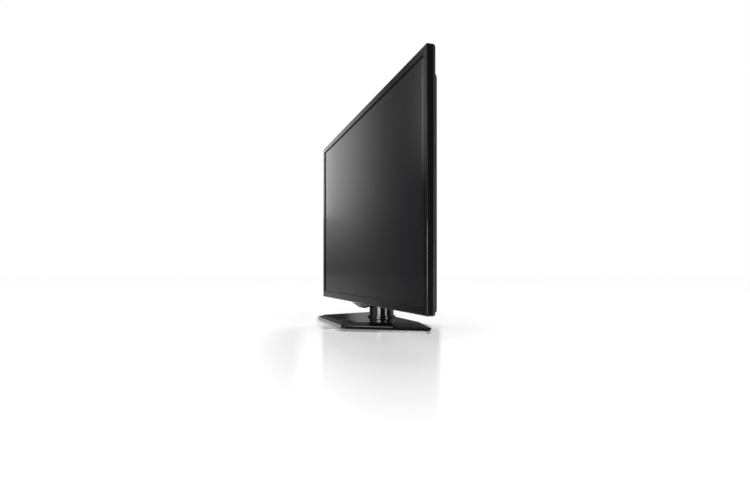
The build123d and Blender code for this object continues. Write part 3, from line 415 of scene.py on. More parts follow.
def dark_window(name):
    """Deep red window that hides the sensor behind it."""
    finish = Finish(name, IOR=1.5)
    deep_red = (0.02, 0.002, 0.003, 1.0)
    red = (0.035, 0.003, 0.005, 1.0)
    cloud = finish.noise(size=0.008)
    finish.set(
        Base_Color=finish.mixed(cloud, deep_red, red),
        Roughness=0.06 + cloud * 0.05,
    )
    return finish.material


def clear_guide(name):
    """Pale moulded light guide, slightly milky and unevenly so."""
    finish = Finish(name, IOR=1.49)
    cool = (1.0, 1.02, 1.06)
    cloud = finish.noise(size=0.002)
    finish.set(
        Base_Color=finish.mixed(cloud, grey(0.62), grey(0.75, cool)),
        Roughness=0.1 + cloud * 0.15,
    )
    return finish.material


def turned_metal(name, colour, roughness):
    """Turned and plated metal: fine rings and small stains."""
    finish = Finish(name, Metallic=1.0)
    rings = finish.noise(size=0.0006, stretch=(1.0, 1.0, 0.2))
    stain = finish.noise(size=0.004, detail=3.0)
    finish.set(
        Base_Color=finish.mixed(stain, shaded(colour, 0.75), colour),
        Roughness=roughness + rings * 0.12 + stain * 0.08,
    )
    finish.relief(rings, depth=0.00002)
    return finish.material


# Shapes that repeat: the screws that show and the heights of their heads, the rings
# around the jacks and how far their middles stand off the plate
SCREW = {"Head radius": 0.0034, "Shank radius": 0.0014, "Recess width": 0.00085}
TALL_HEAD = 0.0024
FLAT_HEAD = 0.0012
JACK_RING = {"Radius": 0.0057, "Width": 0.002, "Height": 0.0018}
JACK_RING_LIFT = 0.0011
JACK_COLOURS = {
    "green": (0.02, 0.22, 0.04, 1.0),
    "blue": (0.02, 0.06, 0.42, 1.0),
    "red": (0.5, 0.012, 0.012, 1.0),
    "yellow": (0.75, 0.5, 0.02, 1.0),
    "white": (0.75, 0.75, 0.72, 1.0),
}

BACKWARDS = (math.radians(-90), 0.0, 0.0)
DOWNWARDS = (math.radians(180), 0.0, 0.0)


def screw_pattern():
    """A pan-head screw with a cross recess, standing on each point."""
    pattern = Pattern(
        "Cross recess screw",
        {
            "Head radius": "NodeSocketFloat",
            "Head height": "NodeSocketFloat",
            "Shank radius": "NodeSocketFloat",
            "Shank length": "NodeSocketFloat",
            "Recess width": "NodeSocketFloat",
            "Turn": "NodeSocketVector",
            "Material": "NodeSocketMaterial",
        },
    )
    radius = pattern.given("Head radius")
    height = pattern.given("Head height")
    length = pattern.given("Shank length")
    rim_height = height * 0.45
    crown_height = height - rim_height
    crown_radius = radius * 0.68
    recess_length = radius * 1.05
    recess_height = height * 1.1
    head_sides = 24
    shank_sides = 12

    def raised(mesh, amount):
        """A mesh moved along the screw."""
        shift = pattern.node("ShaderNodeCombineXYZ", {}, {2: amount})
        return pattern.node("GeometryNodeTransform", {}, {"Geometry": mesh, "Translation": shift})

    def joined(kind, socket, meshes, **settings):
        """What a node with one socket for many meshes makes of them."""
        whole = pattern.node(kind, settings)
        for mesh in meshes:
            pattern.tree.links.new(mesh.socket, whole.socket.node.inputs[socket])
        return whole

    rim = pattern.node(
        "GeometryNodeMeshCylinder",
        {},
        {"Vertices": head_sides, "Radius": radius, "Depth": rim_height},
    )
    crown = pattern.node(
        "GeometryNodeMeshCone",
        {},
        {
            "Vertices": head_sides,
            "Radius Top": crown_radius,
            "Radius Bottom": radius,
            "Depth": crown_height,
        },
    )
    shank = pattern.node(
        "GeometryNodeMeshCylinder",
        {},
        {"Vertices": shank_sides, "Radius": pattern.given("Shank radius"), "Depth": length},
    )
    bars = []
    for long_axis in (0, 1):
        sides = {
            long_axis: recess_length,
            1 - long_axis: pattern.given("Recess width"),
            2: recess_height,
        }
        size = pattern.node("ShaderNodeCombineXYZ", {}, sides)
        bars.append(raised(pattern.node("GeometryNodeMeshCube", {}, {"Size": size}), height))
    cross = joined("GeometryNodeMeshBoolean", "Mesh", bars, operation="UNION")
    blanks = (raised(rim, rim_height * 0.5), raised(crown, rim_height + crown_height * 0.5))
    head = joined("GeometryNodeMeshBoolean", "Mesh", blanks, operation="UNION")
    cut = pattern.node(
        "GeometryNodeMeshBoolean", {"operation": "DIFFERENCE"}, {"Mesh 1": head, "Mesh 2": cross}
    )
    pattern.stand(joined("GeometryNodeJoinGeometry", 0, (cut, raised(shank, length * -0.5))))
    return pattern


def ring_pattern():
    """A moulded ring with rounded edges, around each point."""
    pattern = Pattern(
        "Moulded ring",
        {
            "Radius": "NodeSocketFloat",
            "Width": "NodeSocketFloat",
            "Height": "NodeSocketFloat",
            "Turn": "NodeSocketVector",
            "Material": "NodeSocketMaterial",
        },
    )
    ring_sides = 28
    width = pattern.given("Width")
    circle = pattern.node(
        "GeometryNodeCurvePrimitiveCircle",
        {},
        {"Resolution": ring_sides, "Radius": pattern.given("Radius")},
    )
    outline = pattern.node(
        "GeometryNodeCurvePrimitiveQuadrilateral",
        {},
        {"Width": width, "Height": pattern.given("Height")},
    )
    corner = width * 0.3
    rounded = pattern.node("GeometryNodeFilletCurve", {}, {"Curve": outline, "Radius": corner})
    ring = pattern.node("GeometryNodeCurveToMesh", {}, {"Curve": circle, "Profile Curve": rounded})
    pattern.stand(ring)
    return pattern


def places_of(name):
    """Lowest and highest corner of each separate solid of a node."""
    weld = 0.00001
    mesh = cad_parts[name].data
    leader = {}
    joined = {}

    def root(key):
        """The corner that stands for all the corners joined to this one."""
        while joined[key] != key:
            joined[key] = joined[joined[key]]
            key = joined[key]
        return key

    for vertex in mesh.vertices:
        key = tuple(round(part / weld) for part in vertex.co)
        joined.setdefault(key, key)
        leader[vertex.index] = key
    for polygon in mesh.polygons:
        keys = [root(leader[index]) for index in polygon.vertices]
        for key in keys[1:]:
            joined[root(key)] = root(keys[0])
    groups = {}
    for vertex in mesh.vertices:
        groups.setdefault(root(leader[vertex.index]), []).append(vertex.co)
    boxes = []
    for corners in groups.values():
        low, high = (Vector([pick(line) for line in zip(*corners)]) for pick in (min, max))
        boxes.append((low, high))
    return boxes


def dress(names, material):
    """Gives CAD nodes their material."""
    for name in names:
        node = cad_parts[name]
        if not node.material_slots:
            node.data.materials.append(material)
        for material_slot in node.material_slots:
            material_slot.material = material


def softened(name, radius, sharpest, material):
    """A node's own shape with edges over an angle in degrees rounded over a radius."""
    weld = 0.000005
    flat = math.radians(0.6)
    shape = bmesh.new()
    shape.from_mesh(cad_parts[name].data)
    bmesh.ops.remove_doubles(shape, verts=shape.verts, dist=weld)
    bmesh.ops.dissolve_limit(shape, angle_limit=flat, verts=shape.verts, edges=shape.edges)
    base = bpy.data.meshes.new(name + "_softened")
    shape.to_mesh(base)
    shape.free()
    base.materials.clear()
    base.materials.append(material)
    for polygon in base.polygons:
        polygon.use_smooth = True
        polygon.material_index = 0
    piece = added(name + "_softened", base)
    rounding = piece.modifiers.new("Rounded edges", "BEVEL")
    rounding.width = radius
    rounding.segments = 3
    rounding.limit_method = "ANGLE"
    rounding.angle_limit = math.radians(sharpest)
    evened = piece.modifiers.new("Even faces", "WEIGHTED_NORMAL")
    evened.keep_sharp = True
    apply_modifiers(piece)
    return piece


def arc(radius, start, end):
    """Points along an arc, its angles in degrees from upright."""
    count = 14
    angles = [math.radians(start + (end - start) * step / count) for step in range(count + 1)]
    return [(radius * math.sin(angle), radius * math.cos(angle)) for angle in angles]


# Strokes of each button's sign, rightwards and upwards from its middle, in the unit
# that SIGN_SCALE gives in metres
KEY_SIGNS = {
    "power_button": (arc(0.8, 40.0, 320.0), [(0.0, 0.2), (0.0, 1.0)]),
    "input_button": (
        [(-0.2, 0.7), (0.9, 0.7), (0.9, -0.7), (-0.2, -0.7)],
        [(-1.0, 0.0), (0.3, 0.0)],
        [(-0.05, 0.35), (0.3, 0.0), (-0.05, -0.35)],
    ),
    "menu_button": tuple([(-0.8, level), (0.8, level)] for level in (0.5, 0.0, -0.5)),
    "ok_button": (arc(0.5, 0.0, 360.0),),
    "volume_up_button": ([(-0.8, 0.0), (0.8, 0.0)], [(0.0, -0.8), (0.0, 0.8)]),
    "volume_down_button": ([(-0.8, 0.0), (0.8, 0.0)],),
    "channel_up_button": ([(-0.8, -0.35), (0.0, 0.45), (0.8, -0.35)],),
    "channel_down_button": ([(-0.8, 0.35), (0.0, -0.45), (0.8, 0.35)],),
}
SIGN_SCALE = 0.0018
SIGN_STROKE_HALF = 0.0002
SIGN_SUNK = 0.00005
SIGN_RAISED = 0.00012


def raised_sign(name, strokes, material):
    """A generic sign of raised strokes on the back of a push button."""
    low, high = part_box(name)
    middle = (low + high) / 2
    shape = bmesh.new()
    for stroke in strokes:
        spots = [
            Vector((middle.x - right * SIGN_SCALE, 0.0, middle.z + up * SIGN_SCALE))
            for right, up in stroke
        ]
        for one, two in zip(spots, spots[1:]):
            along = (two - one).normalized() * SIGN_STROKE_HALF
            aside = Vector((-along.z, 0.0, along.x))
            start, end = one - along, two + along
            corners = (start + aside, start - aside, end - aside, end + aside)
            lower, upper = (
                [shape.verts.new((corner.x, level, corner.z)) for corner in corners]
                for level in (high.y - SIGN_SUNK, high.y + SIGN_RAISED)
            )
            shape.faces.new(upper)
            for index in range(4):
                after = (index + 1) % 4
                shape.faces.new((lower[index], lower[after], upper[after], upper[index]))
    bmesh.ops.recalc_face_normals(shape, faces=shape.faces)
    mesh = bpy.data.meshes.new(name + "_sign")
    shape.to_mesh(mesh)
    shape.free()
    mesh.materials.append(material)
    return added(name + "_sign", mesh)


def finish_piece(piece, body, slot, *replaced):
    """Lets a finished piece ride on its body and stand for its nodes, which it hides; its slot is
    not used.
    """
    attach(piece, body)
    if replaced:
        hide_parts(*replaced)


# Properties


class FinishSettings(bpy.types.PropertyGroup):
    """Colours and gloss of the television's mouldings."""

    gloss_black: bpy.props.FloatVectorProperty(
        name="Gloss black",
        description="Colour of the neck, collar and foot",
        subtype="COLOR",
        size=4,
        default=(0.006, 0.006, 0.0065, 1.0),
    )
    bezel_black: bpy.props.FloatVectorProperty(
        name="Bezel black",
        description="Colour of the front bezel and its tab",
        subtype="COLOR",
        size=4,
        default=(0.004, 0.004, 0.0043, 1.0),
    )
    cover_black: bpy.props.FloatVectorProperty(
        name="Cover black",
        description="Colour of the textured rear cover",
        subtype="COLOR",
        size=4,
        default=(0.014, 0.014, 0.0145, 1.0),
    )
    screen_dark: bpy.props.FloatVectorProperty(
        name="Screen dark",
        description="Colour of the screen when it is off",
        subtype="COLOR",
        size=4,
        default=(0.008, 0.0084, 0.0092, 1.0),
    )
    gloss_roughness: bpy.props.FloatProperty(
        name="Gloss roughness",
        description="Roughness of the glossy foot and neck",
        subtype="FACTOR",
        default=0.03,
        min=0.0,
        max=1.0,
    )
    bezel_roughness: bpy.props.FloatProperty(
        name="Bezel roughness",
        description="Roughness of the bezel",
        subtype="FACTOR",
        default=0.09,
        min=0.0,
        max=1.0,
    )
    grain_size: bpy.props.FloatProperty(
        name="Grain size",
        description="Size of the pebbles in the rear cover's texture",
        subtype="DISTANCE",
        unit="LENGTH",
        default=0.0009,
        min=0.0002,
        max=0.005,
    )


class StageSettings(bpy.types.PropertyGroup):
    """Camera, floor and lamps."""

    eye: bpy.props.FloatVectorProperty(
        name="Eye",
        description="Place of the camera",
        subtype="TRANSLATION",
        unit="LENGTH",
        default=(1.4598, -0.4441, 0.1456),
    )
    heading: bpy.props.FloatProperty(
        name="Heading",
        description="Turn of the camera about the vertical",
        subtype="ANGLE",
        default=math.radians(71.69),
    )
    focal_length: bpy.props.FloatProperty(
        name="Focal length",
        description="Focal length of the camera's lens",
        subtype="DISTANCE_CAMERA",
        default=24.8,
    )
    raise_frame: bpy.props.FloatProperty(
        name="Frame shift",
        description="Vertical shift of the picture, as a share of its width",
        subtype="FACTOR",
        default=0.04415,
    )
    floor_colour: bpy.props.FloatVectorProperty(
        name="Floor colour",
        description="Colour of the pale floor",
        subtype="COLOR",
        size=4,
        default=(0.86, 0.86, 0.86, 1.0),
    )
    room_light: bpy.props.FloatProperty(
        name="Room light",
        description="Strength of the even light from all round",
        default=0.75,
        min=0.0,
        max=2.0,
    )


# Operators, one for each group of pieces and one for the stage


class TELEVISION_OT_screen(bpy.types.Operator):
    """Finishes the screen and the sheets and lamps behind it"""

    bl_idname = "television.screen"
    bl_label = "Screen and backlight"

    def execute(self, context):
        settings = context.scene.television_finish
        dress(["lcd_panel"], screen_cell("Dark screen", settings.screen_dark))
        film = optical_sheet("White film", grey(0.9), roughness=0.4)
        dress(["optical_films", "reflector"], film)
        plate = optical_sheet("Milky plate", grey(0.86), roughness=0.5)
        dress(["diffuser_plate"], plate)
        strip = optical_sheet("Lamp strip", grey(0.78), roughness=0.3)
        dress(["light_bars"], strip)
        moulded = moulded_texture(
            "Grey frame", grey(0.05), roughness=0.5, size=0.0012, depth=0.00004
        )
        dress(["panel_frame", "key_frame"], moulded)
        return {"FINISHED"}


class TELEVISION_OT_bezel(bpy.types.Operator):
    """Finishes the bezel, the sensor tab and its window"""

    bl_idname = "television.bezel"
    bl_label = "Bezel and sensor tab"

    def execute(self, context):
        settings = context.scene.television_finish
        colour, roughness = settings.bezel_black, settings.bezel_roughness
        bezel = moulded_gloss(
            "Bezel black", colour, roughness, grain=0.00001, shine=0.35, matt_lip=True
        )
        dress(["front_bezel"], bezel)
        tab = moulded_gloss("Tab black", colour, roughness=0.3, grain=0.00001, shine=0.1)
        dress(["sensor_housing"], tab)
        rounded = softened("front_bezel", radius=0.0009, sharpest=40.0, material=bezel)
        finish_piece(rounded, "set", "satin_black", "front_bezel")
        dress(["sensor_window"], dark_window("Sensor window"))
        dress(["indicator_guide"], clear_guide("Light guide"))
        return {"FINISHED"}


class TELEVISION_OT_rear_cover(bpy.types.Operator):
    """Finishes the textured rear cover and the speakers"""

    bl_idname = "television.rear_cover"
    bl_label = "Rear cover"

    def execute(self, context):
        settings = context.scene.television_finish
        colour, size = settings.cover_black, settings.grain_size
        cover = moulded_texture("Textured black", colour, roughness=0.46, size=size, depth=0.00006)
        dress(["rear_cover", "speaker_left", "speaker_right"], cover)
        return {"FINISHED"}


class TELEVISION_OT_stand(bpy.types.Operator):
    """Finishes the neck, collar, foot and the swivel inside them"""

    bl_idname = "television.stand"
    bl_label = "Stand"

    def execute(self, context):
        settings = context.scene.television_finish
        colour, roughness = settings.gloss_black, settings.gloss_roughness
        gloss = moulded_gloss("Piano black", colour, roughness, grain=0.0000015, shine=0.4)
        dress(["neck_cover", "swivel_ring", "foot_cover"], gloss)
        foot = softened("foot_cover", radius=0.00025, sharpest=14.0, material=gloss)
        finish_piece(foot, "foot", "gloss_black", "foot_cover")
        coated = coated_steel("Black coated steel", grey(0.018), roughness=0.42)
        dress(["foot_plate", "neck_core", "jack_plate"], coated)
        zinc = grey(0.6, (0.98, 1.0, 1.03))
        plated = sheet_steel("Zinc-plated steel", zinc, roughness=0.3, brushed=0.55)
        dress(
            ["chassis", "stand_bracket", "swivel_shaft", "retaining_washer", "bearing_plate"],
            plated,
        )
        dress(["rubber_feet"], soft_rubber("Foot rubber", grey(0.02)))
        return {"FINISHED"}


class TELEVISION_OT_connectors(bpy.types.Operator):
    """Finishes the sockets, the inlet and the wall-mount bushes, and rings the jacks"""

    bl_idname = "television.connectors"
    bl_label = "Sockets and inlet"

    def execute(self, context):
        nickel = grey(0.62, (1.02, 1.0, 0.96))
        plated = turned_metal("Nickel plating", nickel, roughness=0.22)
        dress(["antenna_socket", "hdmi_sockets", "usb_socket", "av_jacks"], plated)
        moulded = moulded_texture(
            "Socket black", grey(0.015), roughness=0.4, size=0.0006, depth=0.00002
        )
        dress(["optical_socket", "mains_inlet"], moulded)
        brass = turned_metal("Brass", (0.62, 0.42, 0.16, 1.0), roughness=0.28)
        dress(["wall_mount_bushes"], brass)
        self.ring_jacks(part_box("jack_plate")[1].y)
        return {"FINISHED"}

    def ring_jacks(self, plate_back):
        """Coloured insulating rings around the five round jacks."""
        pattern = ring_pattern()
        jacks = sorted(places_of("av_jacks"), key=lambda pair: pair[0].x)
        for (low, high), (word, colour) in zip(jacks, JACK_COLOURS.items()):
            middle = (low + high) / 2
            place = (middle.x, plate_back + JACK_RING_LIFT, middle.z)
            finish = moulded_texture(
                "Jack ring " + word, colour, roughness=0.35, size=0.0006, depth=0.00001
            )
            values = {**JACK_RING, "Turn": BACKWARDS, "Material": finish}
            finish_piece(pattern.grow("jack_ring_" + word, [place], values), "set", "nickel")


class TELEVISION_OT_boards(bpy.types.Operator):
    """Finishes the circuit boards, their heat sink and the ribbon cable"""

    bl_idname = "television.boards"
    bl_label = "Circuit boards"

    def execute(self, context):
        dress(
            ["main_board", "power_board", "timing_board", "key_board", "sensor_board"],
            circuit_board("Circuit board"),
        )
        fins = sheet_steel("Finned aluminium", grey(0.7), roughness=0.34, brushed=0.8)
        dress(["heat_sink"], fins)
        ribbon = optical_sheet("Ribbon", grey(0.75), roughness=0.4)
        dress(["ribbon_cable"], ribbon)
        return {"FINISHED"}


class TELEVISION_OT_buttons(bpy.types.Operator):
    """Finishes the push buttons and puts their signs on"""

    bl_idname = "television.buttons"
    bl_label = "Buttons"

    def execute(self, context):
        caps = moulded_texture(
            "Button black", grey(0.02), roughness=0.36, size=0.0005, depth=0.000012
        )
        names = [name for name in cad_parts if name.endswith("_button")]
        dress(names, caps)
        pale = moulded_texture(
            "Sign grey", grey(0.32), roughness=0.5, size=0.0004, depth=0.000004
        )
        for name in names:
            sign = raised_sign(name, KEY_SIGNS[name], pale)
            finish_piece(sign, name, "button_black")
        return {"FINISHED"}


class TELEVISION_OT_screws(bpy.types.Operator):
    """Makes the screws that show, with cross recesses, and finishes the others"""

    bl_idname = "television.screws"
    bl_label = "Screws"

    def execute(self, context):
        steel = turned_metal("Blackened steel", grey(0.09), roughness=0.34)
        dress(["board_screws", "washer_screws", "bearing_screws"], steel)
        pattern = screw_pattern()
        self.stand_in(pattern, "cover_screws", "set", BACKWARDS, TALL_HEAD, steel)
        self.stand_in(pattern, "stand_screws", "set", BACKWARDS, TALL_HEAD, steel)
        self.stand_in(pattern, "foot_screws", "foot", DOWNWARDS, FLAT_HEAD, steel)
        return {"FINISHED"}

    def stand_in(self, pattern, node, body, turn, head_height, material):
        """Screws with a recess in the place of a node's plain ones."""
        points = []
        for low, high in places_of(node):
            seat = (low + high) / 2
            if turn == BACKWARDS:
                seat.y = high.y - head_height
                length = seat.y - low.y
            else:
                seat.z = low.z + head_height
                length = high.z - seat.z
            points.append(tuple(seat))
        values = {
            **SCREW,
            "Head height": head_height,
            "Shank length": length,
            "Turn": turn,
            "Material": material,
        }
        screws = pattern.grow(node + "_recessed", points, values)
        finish_piece(screws, body, "screw_steel", node)


# Stage

# Soft boxes: place, target, width and height in metres, watts, and beam in degrees
LAMPS = {
    "key_lamp": ((1.5, -2.4, 0.8), (0.1, 0.0, 0.4), (0.9, 1.0), 8.0, 180.0),
    "over_lamp": ((1.09, -1.2, 2.14), (0.2, -0.05, 0.0), (0.9, 0.9), 12.0, 180.0),
    "back_corner_lamp": ((1.6, 1.0, 1.9), (0.27, 0.1, 0.0), (0.4, 0.4), 4.0, 180.0),
    "low_left_lamp": ((1.33, -1.2, 0.2), (0.0, 0.06, 0.2), (0.85, 0.36), 5.9, 120.0),
    "low_right_lamp": ((0.974, 0.453, 0.07), (0.0, 0.06, 0.07), (0.3, 0.13), 0.46, 120.0),
    "far_lamp": ((-3.6, -0.35, 1.2), (0.0, -0.02, 0.35), (0.6, 1.0), 6.0, 180.0),
    "back_lamp": ((0.6, 3.2, 1.8), (0.0, 0.0, 0.3), (2.2, 1.6), 16.0, 180.0),
}
UNMIRRORED_LAMP = "back_lamp"

# The floor: half its width, how much plain white light lifts it where nothing stands
# within the crevice's width (near things the lift is left out, a painted contact
# shadow), and how much of it mirrors, to the eye and in the gloss
FLOOR_REACH = 30.0
FLOOR_GLOW = 0.62
FLOOR_GLOW_STRENGTH = 1.2
CREVICE = 0.02
MIRROR_ROUGHNESS = 0.1
MIRROR_SHARE = 0.38
MIRRORED_FLOOR_SHARE = 0.97

# The long patch of floor that mirrors the foot: its middle, its heading in degrees, how
# far it reaches ahead, behind and sideways, and where its fading starts and ends, as
# shares of that reach
PATCH_MIDDLE = (0.25, -0.02)
PATCH_HEADING = 162.0
PATCH_AHEAD = 0.25
PATCH_BEHIND = 0.95
PATCH_SIDEWAYS = 0.3
PATCH_FADE = (0.42, 1.05)

# The rim of floor in front of the foot that mirrors it too: how far from the foot it
# fades, the foot's front corner and the slant of its sides, and the straight lines that
# bound it, as weights of X and Y and where the soft step along them starts and ends
RIM_FADE = (0.062, 0.05)
FOOT_CORNER = 0.152
FOOT_SLANT = (0.85, 0.53)
RIM_LEFT = (0.26, 1.0, -0.085, -0.065)
RIM_FAR = (0.949, -0.314, 0.19, 0.178)
RIM_FURTHER = (0.213, 1.0, -0.142, -0.13)
RIM_RIGHT = (0.45, 1.0, 0.222, 0.212)

# The studio that the gloss mirrors: a signal, and soft steps along it, each from where
# it starts to where it ends. Across, depth and rise are the parts of a direction of
# length one, bearing is depth over across, and lean is across over depth.
STUDIO = {
    "left": ("across", (-0.2, -0.8)),
    "white_wall": ("bearing", (0.36, 0.226), (-0.14, 0.2)),
    "white_rise": ("rise", (0.0, 0.2), (0.6, 0.3)),
    "grey_wall": ("bearing", (0.46, 0.3), (-0.15, 0.1)),
    "grey_rise": ("rise", (0.34, 0.42)),
    "back_wall": ("bearing", (-0.9, -0.75), (-0.15, -0.2)),
    "back_rise": ("rise", (0.092, 0.1), (0.5, 0.42)),
    "card": ("bearing", (-0.485, -0.47), (-0.215, -0.23)),
    "card_rise": ("rise", (0.43, 0.37)),
    "far_side": ("bearing", (-0.33, -0.36), (-0.55, -0.45)),
    "front": ("depth", (-0.1, -0.3)),
    "front_lean": ("lean", (0.5, 0.3)),
    "rear": ("depth", (0.1, 0.3)),
    "rear_lean": ("lean", (0.5, 0.35)),
    "side_lean": ("lean", (-0.65, -0.5)),
}

# Soft patches on it: middle and reach in bearing, then in rise
WINDOW = ((0.451, 0.025), (0.31, 0.16))
LOW_GLOW = ((-0.315, 0.05), (0.08, 0.05))

# How bright the walls and patches are
BRIGHTNESS = {
    "white_wall": 0.9,
    "white_foot": 0.05,
    "grey_top": 0.14,
    "grey_wall": 0.12,
    "window": 0.95,
    "low_glow": 0.22,
    "back_wall": 0.97,
    "far_side": 0.05,
    "front": 0.7,
    "rear": 0.6,
    "everywhere": 0.03,
}


class TELEVISION_OT_stage(bpy.types.Operator):
    """Lays the pale floor and sets the lamps, the surroundings and the camera"""

    bl_idname = "television.stage"
    bl_label = "Stage"

    def execute(self, context):
        settings = context.scene.television_stage
        self.lay_floor(settings.floor_colour)
        self.light_room(context.scene, settings.room_light)
        for name, values in LAMPS.items():
            self.place_lamp(name, *values)
        self.place_camera(context.scene, settings)
        return {"FINISHED"}

    def lay_floor(self, colour):
        """A pale floor, white far away, with the lamps' shadows, a painted contact shadow and a
        faint reflection.
        """
        mesh = bpy.data.meshes.new("floor")
        corners = [
            (across * FLOOR_REACH, along * FLOOR_REACH, 0)
            for across, along in ((-1, -1), (1, -1), (1, 1), (-1, 1))
        ]
        mesh.from_pydata(corners, [], [(0, 1, 2, 3)])
        floor = added("floor", mesh)
        finish = Finish("Pale floor", Base_Color=colour, Roughness=0.7, Specular_IOR_Level=0.0)
        seen = finish.node("ShaderNodeLightPath", output="Is Camera Ray")
        mirrored = finish.node("ShaderNodeLightPath", output="Is Glossy Ray")
        # Ambient occlusion takes the white lift away where things stand close: a painted contact
        # shadow
        clear_of_painted_contact_shadow = finish.node(
            "ShaderNodeAmbientOcclusion", {"samples": 8}, {"Distance": CREVICE}, "AO"
        )
        white = finish.node(
            "ShaderNodeEmission", {}, {"Color": grey(1.0), "Strength": FLOOR_GLOW_STRENGTH}
        )
        mirror = finish.node(
            "ShaderNodeBsdfGlossy", {}, {"Color": grey(1.0), "Roughness": MIRROR_ROUGHNESS}
        )
        lit = Signal(finish, finish.shader.outputs[0])
        glow = seen * clear_of_painted_contact_shadow * FLOOR_GLOW
        base = finish.node("ShaderNodeMixShader", {}, {0: glow, 1: lit, 2: white})
        wet = self.long_patch(finish) * MIRROR_SHARE + self.foot_rim(finish) * MIRROR_SHARE
        share = wet * (1.0 - mirrored) + mirrored * MIRRORED_FLOOR_SHARE
        whole = finish.node("ShaderNodeMixShader", {}, {0: share, 1: base, 2: mirror})
        finish.feed(finish.tree.nodes["Material Output"].inputs["Surface"], whole)
        mesh.materials.append(finish.material)

    def foot_rim(self, finish):
        """One on the floor along the front of the foot, nothing some centimetres away."""
        low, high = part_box("foot_cover")
        x, y = finish.axis("X"), finish.axis("Y")
        aside = finish.calculate("ABSOLUTE", x)
        slant = (aside - FOOT_CORNER) * FOOT_SLANT[0] - (y - low.y) * FOOT_SLANT[1]
        off = finish.calculate("MAXIMUM", low.y - y, slant)
        off = finish.calculate("MAXIMUM", off, y - high.y)
        left, far, further, right = (
            finish.between(x * weight_x + y * weight_y, start, end)
            for weight_x, weight_y, start, end in (RIM_LEFT, RIM_FAR, RIM_FURTHER, RIM_RIGHT)
        )
        left = finish.calculate("MAXIMUM", left, far * further)
        return finish.between(off, *RIM_FADE) * left * right

    def long_patch(self, finish):
        """One in the middle of a long patch of floor, nothing beyond its edge."""
        turn = math.radians(PATCH_HEADING)
        aside = finish.axis("X") - PATCH_MIDDLE[0]
        behind = finish.axis("Y") - PATCH_MIDDLE[1]
        along = aside * math.cos(turn) + behind * math.sin(turn)
        along = finish.calculate("MAXIMUM", along / PATCH_AHEAD, along / -PATCH_BEHIND)
        across = (behind * math.cos(turn) - aside * math.sin(turn)) / PATCH_SIDEWAYS
        return 1.0 - finish.between((along * along + across * across) ** 0.5, *PATCH_FADE)

    def light_room(self, scene, strength):
        """White surroundings where they are seen, a darker studio where they are mirrored."""
        world = bpy.data.worlds.new("Surroundings")
        scene.world = world
        world.use_nodes = True
        graph = Graph(world.node_tree)
        camera_ray, glossy_ray, clear_ray = (
            graph.node("ShaderNodeLightPath", output="Is " + kind + " Ray")
            for kind in ("Camera", "Glossy", "Transmission")
        )
        way = graph.node("ShaderNodeTexCoord", output="Generated")
        across, depth, rise = (
            graph.node("ShaderNodeSeparateXYZ", {}, {0: way}, letter) for letter in "XYZ"
        )
        mirrored = glossy_ray + clear_ray
        rest = 1.0 - graph.calculate("MINIMUM", camera_ray + mirrored, 1.0)
        level = self.studio_level(graph, across, depth, rise)
        whole = camera_ray + mirrored * level + rest * strength
        background = world.node_tree.nodes["Background"]
        background.inputs["Color"].default_value = grey(1.0)
        graph.feed(background.inputs["Strength"], whole)

    def studio_level(self, graph, across, depth, rise):
        """How bright the studio is in a direction: walls on the left, in front and behind."""
        bearing = depth / across
        signals = {
            "across": across,
            "depth": depth,
            "rise": rise,
            "bearing": bearing,
            "lean": across / depth,
        }

        def edge(name):
            """One inside the soft edges that the studio has under a name, nothing outside."""
            signal, *steps = STUDIO[name]
            return graph.band(signals[signal], *steps)

        white_rise = edge("white_rise") * BRIGHTNESS["white_wall"] + BRIGHTNESS["white_foot"]
        grey_rise = edge("grey_rise") * BRIGHTNESS["grey_top"] + BRIGHTNESS["grey_wall"]
        back_wall = edge("back_wall") * edge("back_rise")
        back_wall = back_wall * (1.0 - edge("card") * edge("card_rise"))
        lit = edge("white_wall") * white_rise + edge("grey_wall") * grey_rise
        lit = lit + self.patch(graph, bearing, rise, *WINDOW) * BRIGHTNESS["window"]
        lit = lit + self.patch(graph, bearing, rise, *LOW_GLOW) * BRIGHTNESS["low_glow"]
        lit = lit + back_wall * BRIGHTNESS["back_wall"] + edge("far_side") * BRIGHTNESS["far_side"]
        front = edge("front") * edge("front_lean") * BRIGHTNESS["front"]
        rear = edge("rear") * edge("rear_lean") * BRIGHTNESS["rear"]
        whole = edge("left") * lit + (front + rear) * edge("side_lean")
        return graph.calculate("MINIMUM", whole + BRIGHTNESS["everywhere"], 1.0)

    def patch(self, graph, bearing, rise, sideways, upwards):
        """Soft patch around a direction, by its middle and reach along both signals."""
        one = (bearing - sideways[0]) / sideways[1]
        two = (rise - upwards[0]) / upwards[1]
        return graph.band(one * one + two * two, (1.0, 0.0))

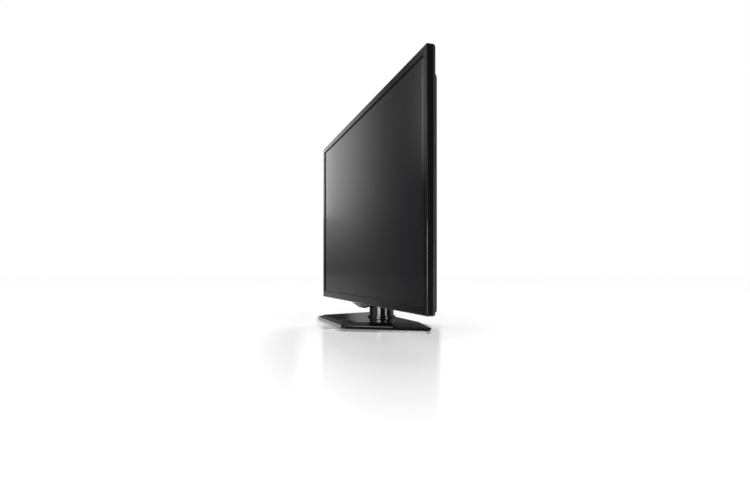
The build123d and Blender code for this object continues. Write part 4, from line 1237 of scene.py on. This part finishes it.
    def place_lamp(self, name, place, target, size, power, beam):
        """A rectangular soft box that faces a target."""
        lamp = bpy.data.lights.new(name, "AREA")
        lamp.shape = "RECTANGLE"
        lamp.size, lamp.size_y = size
        lamp.spread = math.radians(beam)
        lamp.energy = power
        holder = added(name, lamp)
        holder.location = place
        facing = Vector(target) - Vector(place)
        holder.rotation_euler = facing.to_track_quat("-Z", "Y").to_euler()
        holder.visible_camera = False
        holder.visible_glossy = name != UNMIRRORED_LAMP

    def place_camera(self, scene, settings):
        """The camera at the picture's viewing angle, level, with a small upward shift."""
        lens = bpy.data.cameras.new("camera")
        lens.lens = settings.focal_length
        lens.sensor_width = 36.0
        lens.shift_y = settings.raise_frame
        lens.clip_end = 100.0
        camera = added("camera", lens)
        camera.location = settings.eye
        camera.rotation_euler = Euler((math.radians(90), 0.0, settings.heading))
        scene.camera = camera
        scene.view_settings.view_transform = "Standard"


class TELEVISION_PT_panel(bpy.types.Panel):
    """Lists the television's groups of pieces"""

    bl_label = "Television"
    bl_space_type = "VIEW_3D"
    bl_region_type = "UI"
    bl_category = "Television"

    def draw(self, context):
        for operator in OPERATORS:
            self.layout.operator(operator.bl_idname)
        for settings in (context.scene.television_finish, context.scene.television_stage):
            box = self.layout.box()
            for name in settings.__annotations__:
                box.prop(settings, name)


OPERATORS = (
    TELEVISION_OT_screen,
    TELEVISION_OT_bezel,
    TELEVISION_OT_rear_cover,
    TELEVISION_OT_stand,
    TELEVISION_OT_connectors,
    TELEVISION_OT_boards,
    TELEVISION_OT_buttons,
    TELEVISION_OT_screws,
    TELEVISION_OT_stage,
)
CLASSES = (FinishSettings, StageSettings, *OPERATORS, TELEVISION_PT_panel)


def register():
    """Registers the classes and the scene's settings."""
    for item in CLASSES:
        bpy.utils.register_class(item)
    bpy.types.Scene.television_finish = bpy.props.PointerProperty(type=FinishSettings)
    bpy.types.Scene.television_stage = bpy.props.PointerProperty(type=StageSettings)


def unregister():
    """Takes the classes and the scene's settings back out."""
    del bpy.types.Scene.television_stage
    del bpy.types.Scene.television_finish
    for item in reversed(CLASSES):
        bpy.utils.unregister_class(item)


def main():
    """Runs every operator in order."""
    register()
    for operator in OPERATORS:
        group, name = operator.bl_idname.split(".")
        getattr(getattr(bpy.ops, group), name)()


if __name__ == "__main__":
    main()
